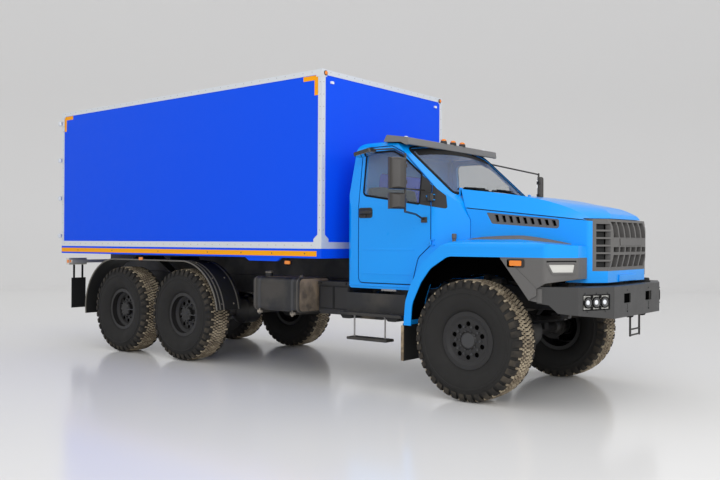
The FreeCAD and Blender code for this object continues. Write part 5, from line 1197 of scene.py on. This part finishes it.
def under_details(name, side):
    """Fittings of one tank, side box, rear mudguard and pair of steps."""
    tank_section = rounded(rect(TANK_INNER, TANK_LOW, TANK_OUTER, TANK_HIGH, 0.06), 6)
    straps_at = (TANK_FRONT - 0.11, TANK_REAR + 0.11)

    def tank_ring(bm, x, width, height):
        places = [at(x, side * p.x, p.y) for p in divided(tank_section, 0.08)]
        middle = at(x, side * 0.92, 0.99)
        normals = []
        for i, p in enumerate(places):
            along = (places[(i + 1) % len(places)] - places[i - 1]).normalized()
            out = along.cross(AHEAD)
            normals.append(out if out.dot(p - middle) > 0 else -out)
        strip(bm, places, normals, width, height)

    def straps(bm):
        for x in straps_at:
            tank_ring(bm, x, 0.045, 0.004)

    def seams(bm):
        for x in (TANK_FRONT - 0.03, TANK_REAR + 0.03):
            tank_ring(bm, x, 0.012, 0.005)

    def fittings(bm):
        filler = [(0, 0.052), (0.02, 0.052), (0.026, 0.046), (0.03, 0.03)]
        lathe(bm, at(TANK_REAR + 0.13, side * 1.05, 1.244), UP, filler, 12)
        sender = [(0, 0.04), (0.01, 0.04), (0.012, 0.02), (0.028, 0.02), (0.03, 0.012)]
        lathe(bm, at(TANK_FRONT - 0.14, side, 1.198), UP, sender, 16)

    def ends(bm):
        for x in straps_at:
            hexa(bm, at(x, side * 1.19, 0.764), AHEAD * 0.03, Vector((0, 0.018, 0)), UP * 0.016)
            tube(bm, [at(x, side * 1.2, 0.74), at(x, side * 1.2, 0.8)], 0.008)
            stud(bm, at(x, side * 1.2, 0.742), -UP, 0.013, 0.014)

    def tank_dust(bm):
        edge = 0.012
        end = rect(TANK_INNER + edge, TANK_LOW + edge, TANK_OUTER - edge, TANK_HIGH - edge, 0.06)
        prism(bm, [(side * p.x, p.y) for p in rounded(end, 6)], on_front(TANK_FRONT), -0.001, 0.0012)
        top = rect(TANK_REAR + 0.02, side * 0.72, TANK_FRONT - 0.02, side * 1.12, 0.02)
        prism(bm, top, on_top(TANK_HIGH), -0.001, 0.0012)

    def side_box(bm):
        for x0, x1 in ((-2.285, -2.07), (-2.05, -1.835)):
            points = divided([Vector(p[:2]) for p in rect(x0, 0.83, x1, 1.1)], 0.2)
            strip(bm, [at(p.x, side * 0.9, p.y) for p in points], outward(side), 0.014, 0.006)
        for x in (-2.26, -1.86):
            stud(bm, at(x, side * 0.908, 1.14), outward(side), 0.01, 0.012)

    guard = arc(GUARD_FRONT_X, GUARD_RADIUS, range(8, 91, 6))
    guard += arc(GUARD_REAR_X, GUARD_RADIUS, range(90, 189, 7))

    def guard_lip(bm):
        strip(bm, [at(p.x, side * 1.25, p.y) for p in guard], outward(side), 0.02, 0.01, closed=False)

    def guard_ribs(bm):
        for y in (1.195, 1.13, 0.87):
            places, normals = [], []
            for p in guard:
                middle = min(max(p.x, GUARD_REAR_X), GUARD_FRONT_X)
                out = (p - Vector((middle, AXLE_Z))).normalized()
                normals.append(Vector((out.x, 0, out.y)))
                places.append(at(p.x, side * y, p.y) + normals[-1] * 0.003)
            strip(bm, places, normals, 0.02, 0.006, closed=False, sink=0.003)

    def guard_bolts(bm):
        for p in arc(GUARD_FRONT_X, GUARD_RADIUS + 0.003, (14, 44, 74)):
            for y in (1.16, 0.95):
                stud(bm, at(p.x, side * y, p.y), Vector((p.x - GUARD_FRONT_X, 0, p.y - AXLE_Z)), 0.009, 0.01)
        for x in (-4.855, -5.655):
            for y in (1.16, 0.9):
                stud(bm, at(x, side * y, 1.375), UP, 0.01, 0.011)

    def step_lobes(bm):
        for x0, x1 in ((-1.71, -1.52), (-1.06, -0.87)):
            prism(bm, [(x0, 0.808), (x0 + 0.04, 0.762, 0.03), (x1 - 0.04, 0.762, 0.03), (x1, 0.808)],
                  on_side(1.085, side), -0.1, 0.11)

    def treads(bm):
        for k in range(11):
            places = [at(-1.68 + 0.08 * k, side * y, LANDING_TREAD) for y in (0.99, 1.09, 1.19)]
            strip(bm, places, UP, 0.018, 0.005, closed=False)
        for k in range(7):
            places = [at(-1.52 + 0.075 * k, side * y, WIRE_TREAD) for y in (1.11, 1.16, 1.21)]
            strip(bm, places, UP, 0.016, 0.004, closed=False)

    def rods(bm):
        for x in (-1.52, -1.08):
            profile = [(0, 0.016), (0.008, 0.016), (0.012, 0.0095), (0.234, 0.0095), (0.238, 0.016),
                       (0.246, 0.016)]
            lathe(bm, at(x, side * 1.16, WIRE_TREAD), UP, profile, 14)

    add("tank_dust_" + name, "dry_dust", tank_dust, 40)
    add("tank_straps_" + name, "bolt_steel", straps, 40)
    add("tank_seams_" + name, "dusty_paint", seams, 40)
    add("tank_fittings_" + name, "bright_dust", fittings, 40)
    add("tank_bracket_ends_" + name, "bright_dust", ends, 40)
    add("side_box_ribs_" + name, "guard_plastic", side_box, 40)
    add("guard_lip_" + name, "guard_edge", guard_lip, 40)
    add("guard_ribs_" + name, "guard_edge", guard_ribs, 40)
    add("guard_bolts_" + name, "bright_dust", guard_bolts)
    add("step_lobes_" + name, "guard_plastic", step_lobes, 40)
    add("step_treads_" + name, "bolt_steel", treads)
    add("step_rods_" + name, "bright_steel", rods, 40)


# Seats

PAD_CELLS = 22


def pad(bm, centre, along, across, up, crown, grooves):
    """Closed crowned cushion: half vectors along, across and up; grooves are shares of its width."""
    cells = PAD_CELLS
    height = up.length

    def point(u, v, level):
        x, y = u * (1 - 0.05 * v ** 4), v * (1 - 0.05 * u ** 4)
        return centre + along * x + across * y + up * level

    grid = []
    for i in range(cells + 1):
        row = []
        for j in range(cells + 1):
            u, v = 2 * i / cells - 1, 2 * j / cells - 1
            edge = max(abs(u), abs(v)) ** 6
            level = 1 - 0.45 * edge + crown / height * (1 - u * u) * (1 - v * v)
            for share in grooves:
                level -= 0.012 / height * math.exp(-((v - share) * across.length / 0.012) ** 2) * (1 - edge)
            row.append(bm.verts.new(point(u * 0.965, v * 0.965, level)))
        grid.append(row)
    for i in range(cells):
        for j in range(cells):
            bm.faces.new((grid[i][j], grid[i + 1][j], grid[i + 1][j + 1], grid[i][j + 1]))
    loop = ([(i, 0) for i in range(cells)] + [(cells, j) for j in range(cells)] +
            [(i, cells) for i in range(cells, 0, -1)] + [(0, j) for j in range(cells, 0, -1)])
    last = [grid[i][j] for i, j in loop]
    for scale, level in ((1.0, 0.2), (0.995, -0.5), (0.95, -0.95)):
        row = [bm.verts.new(point((2 * i / cells - 1) * scale, (2 * j / cells - 1) * scale, level))
               for i, j in loop]
        for k in range(len(loop)):
            m = (k + 1) % len(loop)
            bm.faces.new((last[k], last[m], row[m], row[k]))
        last = row
    bm.faces.new(last)


def seats():
    for name, y0, y1 in (("driver", 0.26, 0.8), ("passenger", -0.86, 0.06)):
        middle, half = (y0 + y1) / 2, (y1 - y0) / 2
        channels = (-0.62, 0.62) if name == "driver" else (-0.8, -0.2, 0.0, 0.2, 0.8)

        def cushion(bm):
            pad(bm, at(-1.238, middle, 1.566), Vector((0.262, 0, 0.008)), Vector((0, half, 0)), UP * 0.06,
                0.012, channels)

        def back(bm):
            lean = Vector((-0.055, 0, 0.352))
            pad(bm, at(-1.492, middle, 1.947), lean, Vector((0, half, 0)),
                Vector((lean.z, 0, -lean.x)).normalized() * 0.052, 0.008, channels)

        def stand(bm):
            prism(bm, [(-1.48, 1.268), (-1.06, 1.268), (-1.06, 1.5, 0.03), (-1.48, 1.5, 0.03)],
                  lambda a, b, h: at(a, middle + h, b), -half + 0.06, half - 0.06)
            for x in (-1.44, -1.1):
                for y, facing in ((-half + 0.06, RIGHT), (half - 0.06, LEFT)):
                    stud(bm, at(x, middle + y, 1.3), outward(facing), 0.009, 0.009)

        for label, maker in (("cushion", cushion), ("back", back)):
            obj = add(label + "_" + name, "seat_fabric", maker, 50)
            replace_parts(obj, "seats")
        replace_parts(add("stand_" + name, "dark_plastic", stand, 50), "seats")


# Camera and studio

YAW = math.radians(38.909)
PITCH = math.radians(0.162)
ROLL = math.radians(0.277)
FOCAL_PIXELS = 817.808
IMAGE_WIDTH = 720.0


def camera():
    """The photograph's own place, direction and lens."""
    data = bpy.data.cameras.new("camera")
    data.sensor_width = 36.0
    data.lens = FOCAL_PIXELS / IMAGE_WIDTH * data.sensor_width
    data.clip_end = 200.0
    forward = Vector((-math.sin(YAW) * math.cos(PITCH), math.cos(YAW) * math.cos(PITCH), math.sin(PITCH)))
    level = Vector((math.cos(YAW), math.sin(YAW), 0.0))
    over = level.cross(forward)
    right = level * math.cos(ROLL) + over * math.sin(ROLL)
    up = over * math.cos(ROLL) - level * math.sin(ROLL)
    cam = linked("camera", data)
    turn = Matrix((right, up, -forward)).transposed()
    cam.matrix_world = Matrix.Translation(at(4.426, -8.435, 1.638)) @ turn.to_4x4()
    bpy.context.scene.camera = cam


def studio():
    """Pale floor that curves up into a backdrop, three soft lamps and an even sky."""
    def sweep(bm):
        span, back, height, radius = 60.0, 16.0, 30.0, 8.0
        rows = [(-span, 0.0), (back, 0.0)]
        for i in range(1, 13):
            a = math.radians(90 * i / 12)
            rows.append((back + radius * math.sin(a), radius - radius * math.cos(a)))
        rows.append((back + radius, height))
        verts = [[bm.verts.new((sx * span, d, z)) for sx in (-1, 1)] for d, z in rows]
        for a, b in zip(verts, verts[1:]):
            bm.faces.new((a[0], a[1], b[1], b[0])).smooth = True

    mesh = bpy.data.meshes.new("floor")
    bm = bmesh.new()
    sweep(bm)
    bm.to_mesh(mesh)
    bm.free()
    mesh.materials.append(principled("studio_floor", (0.8, 0.79, 0.775), 0.16, Specular_IOR_Level=0.35))
    floor = linked("floor", mesh)
    floor.rotation_euler = (0, 0, YAW)
    world = bpy.data.worlds.new("studio")
    world.use_nodes = True
    world.node_tree.nodes["Background"].inputs["Color"].default_value = (0.92, 0.93, 0.95, 1.0)
    world.node_tree.nodes["Background"].inputs["Strength"].default_value = 0.9
    bpy.context.scene.world = world
    bpy.context.scene.view_settings.view_transform = "Standard"

    for name, place, aim, size, power in (
            ("overhead", (0.0, 0.0, 9.0), (0.0, 0.0, 0.0), (14.0, 8.0), 80.0),
            ("front_right", (9.0, -9.0, 6.0), (0.0, 0.0, 1.4), (9.0, 5.0), 330.0),
            ("front", (13.0, -2.0, 5.0), (2.0, 0.0, 1.4), (6.0, 5.0), 200.0)):
        light = bpy.data.lights.new(name, "AREA")
        light.shape = "RECTANGLE"
        light.size, light.size_y = size
        light.energy = power
        lamp = linked(name, light)
        lamp.location = place
        lamp.rotation_euler = (Vector(aim) - Vector(place)).to_track_quat("-Z", "Y").to_euler()


camera()
wheels()
for name, side in SIDES.items():
    door_details(name, side)
    cab_side_details(name, side)
    mirror_details(name, side)
    under_details(name, side)
screen_details()
visor_details()
front_details()
box_details()
box_rear_details()
seats()
studio()
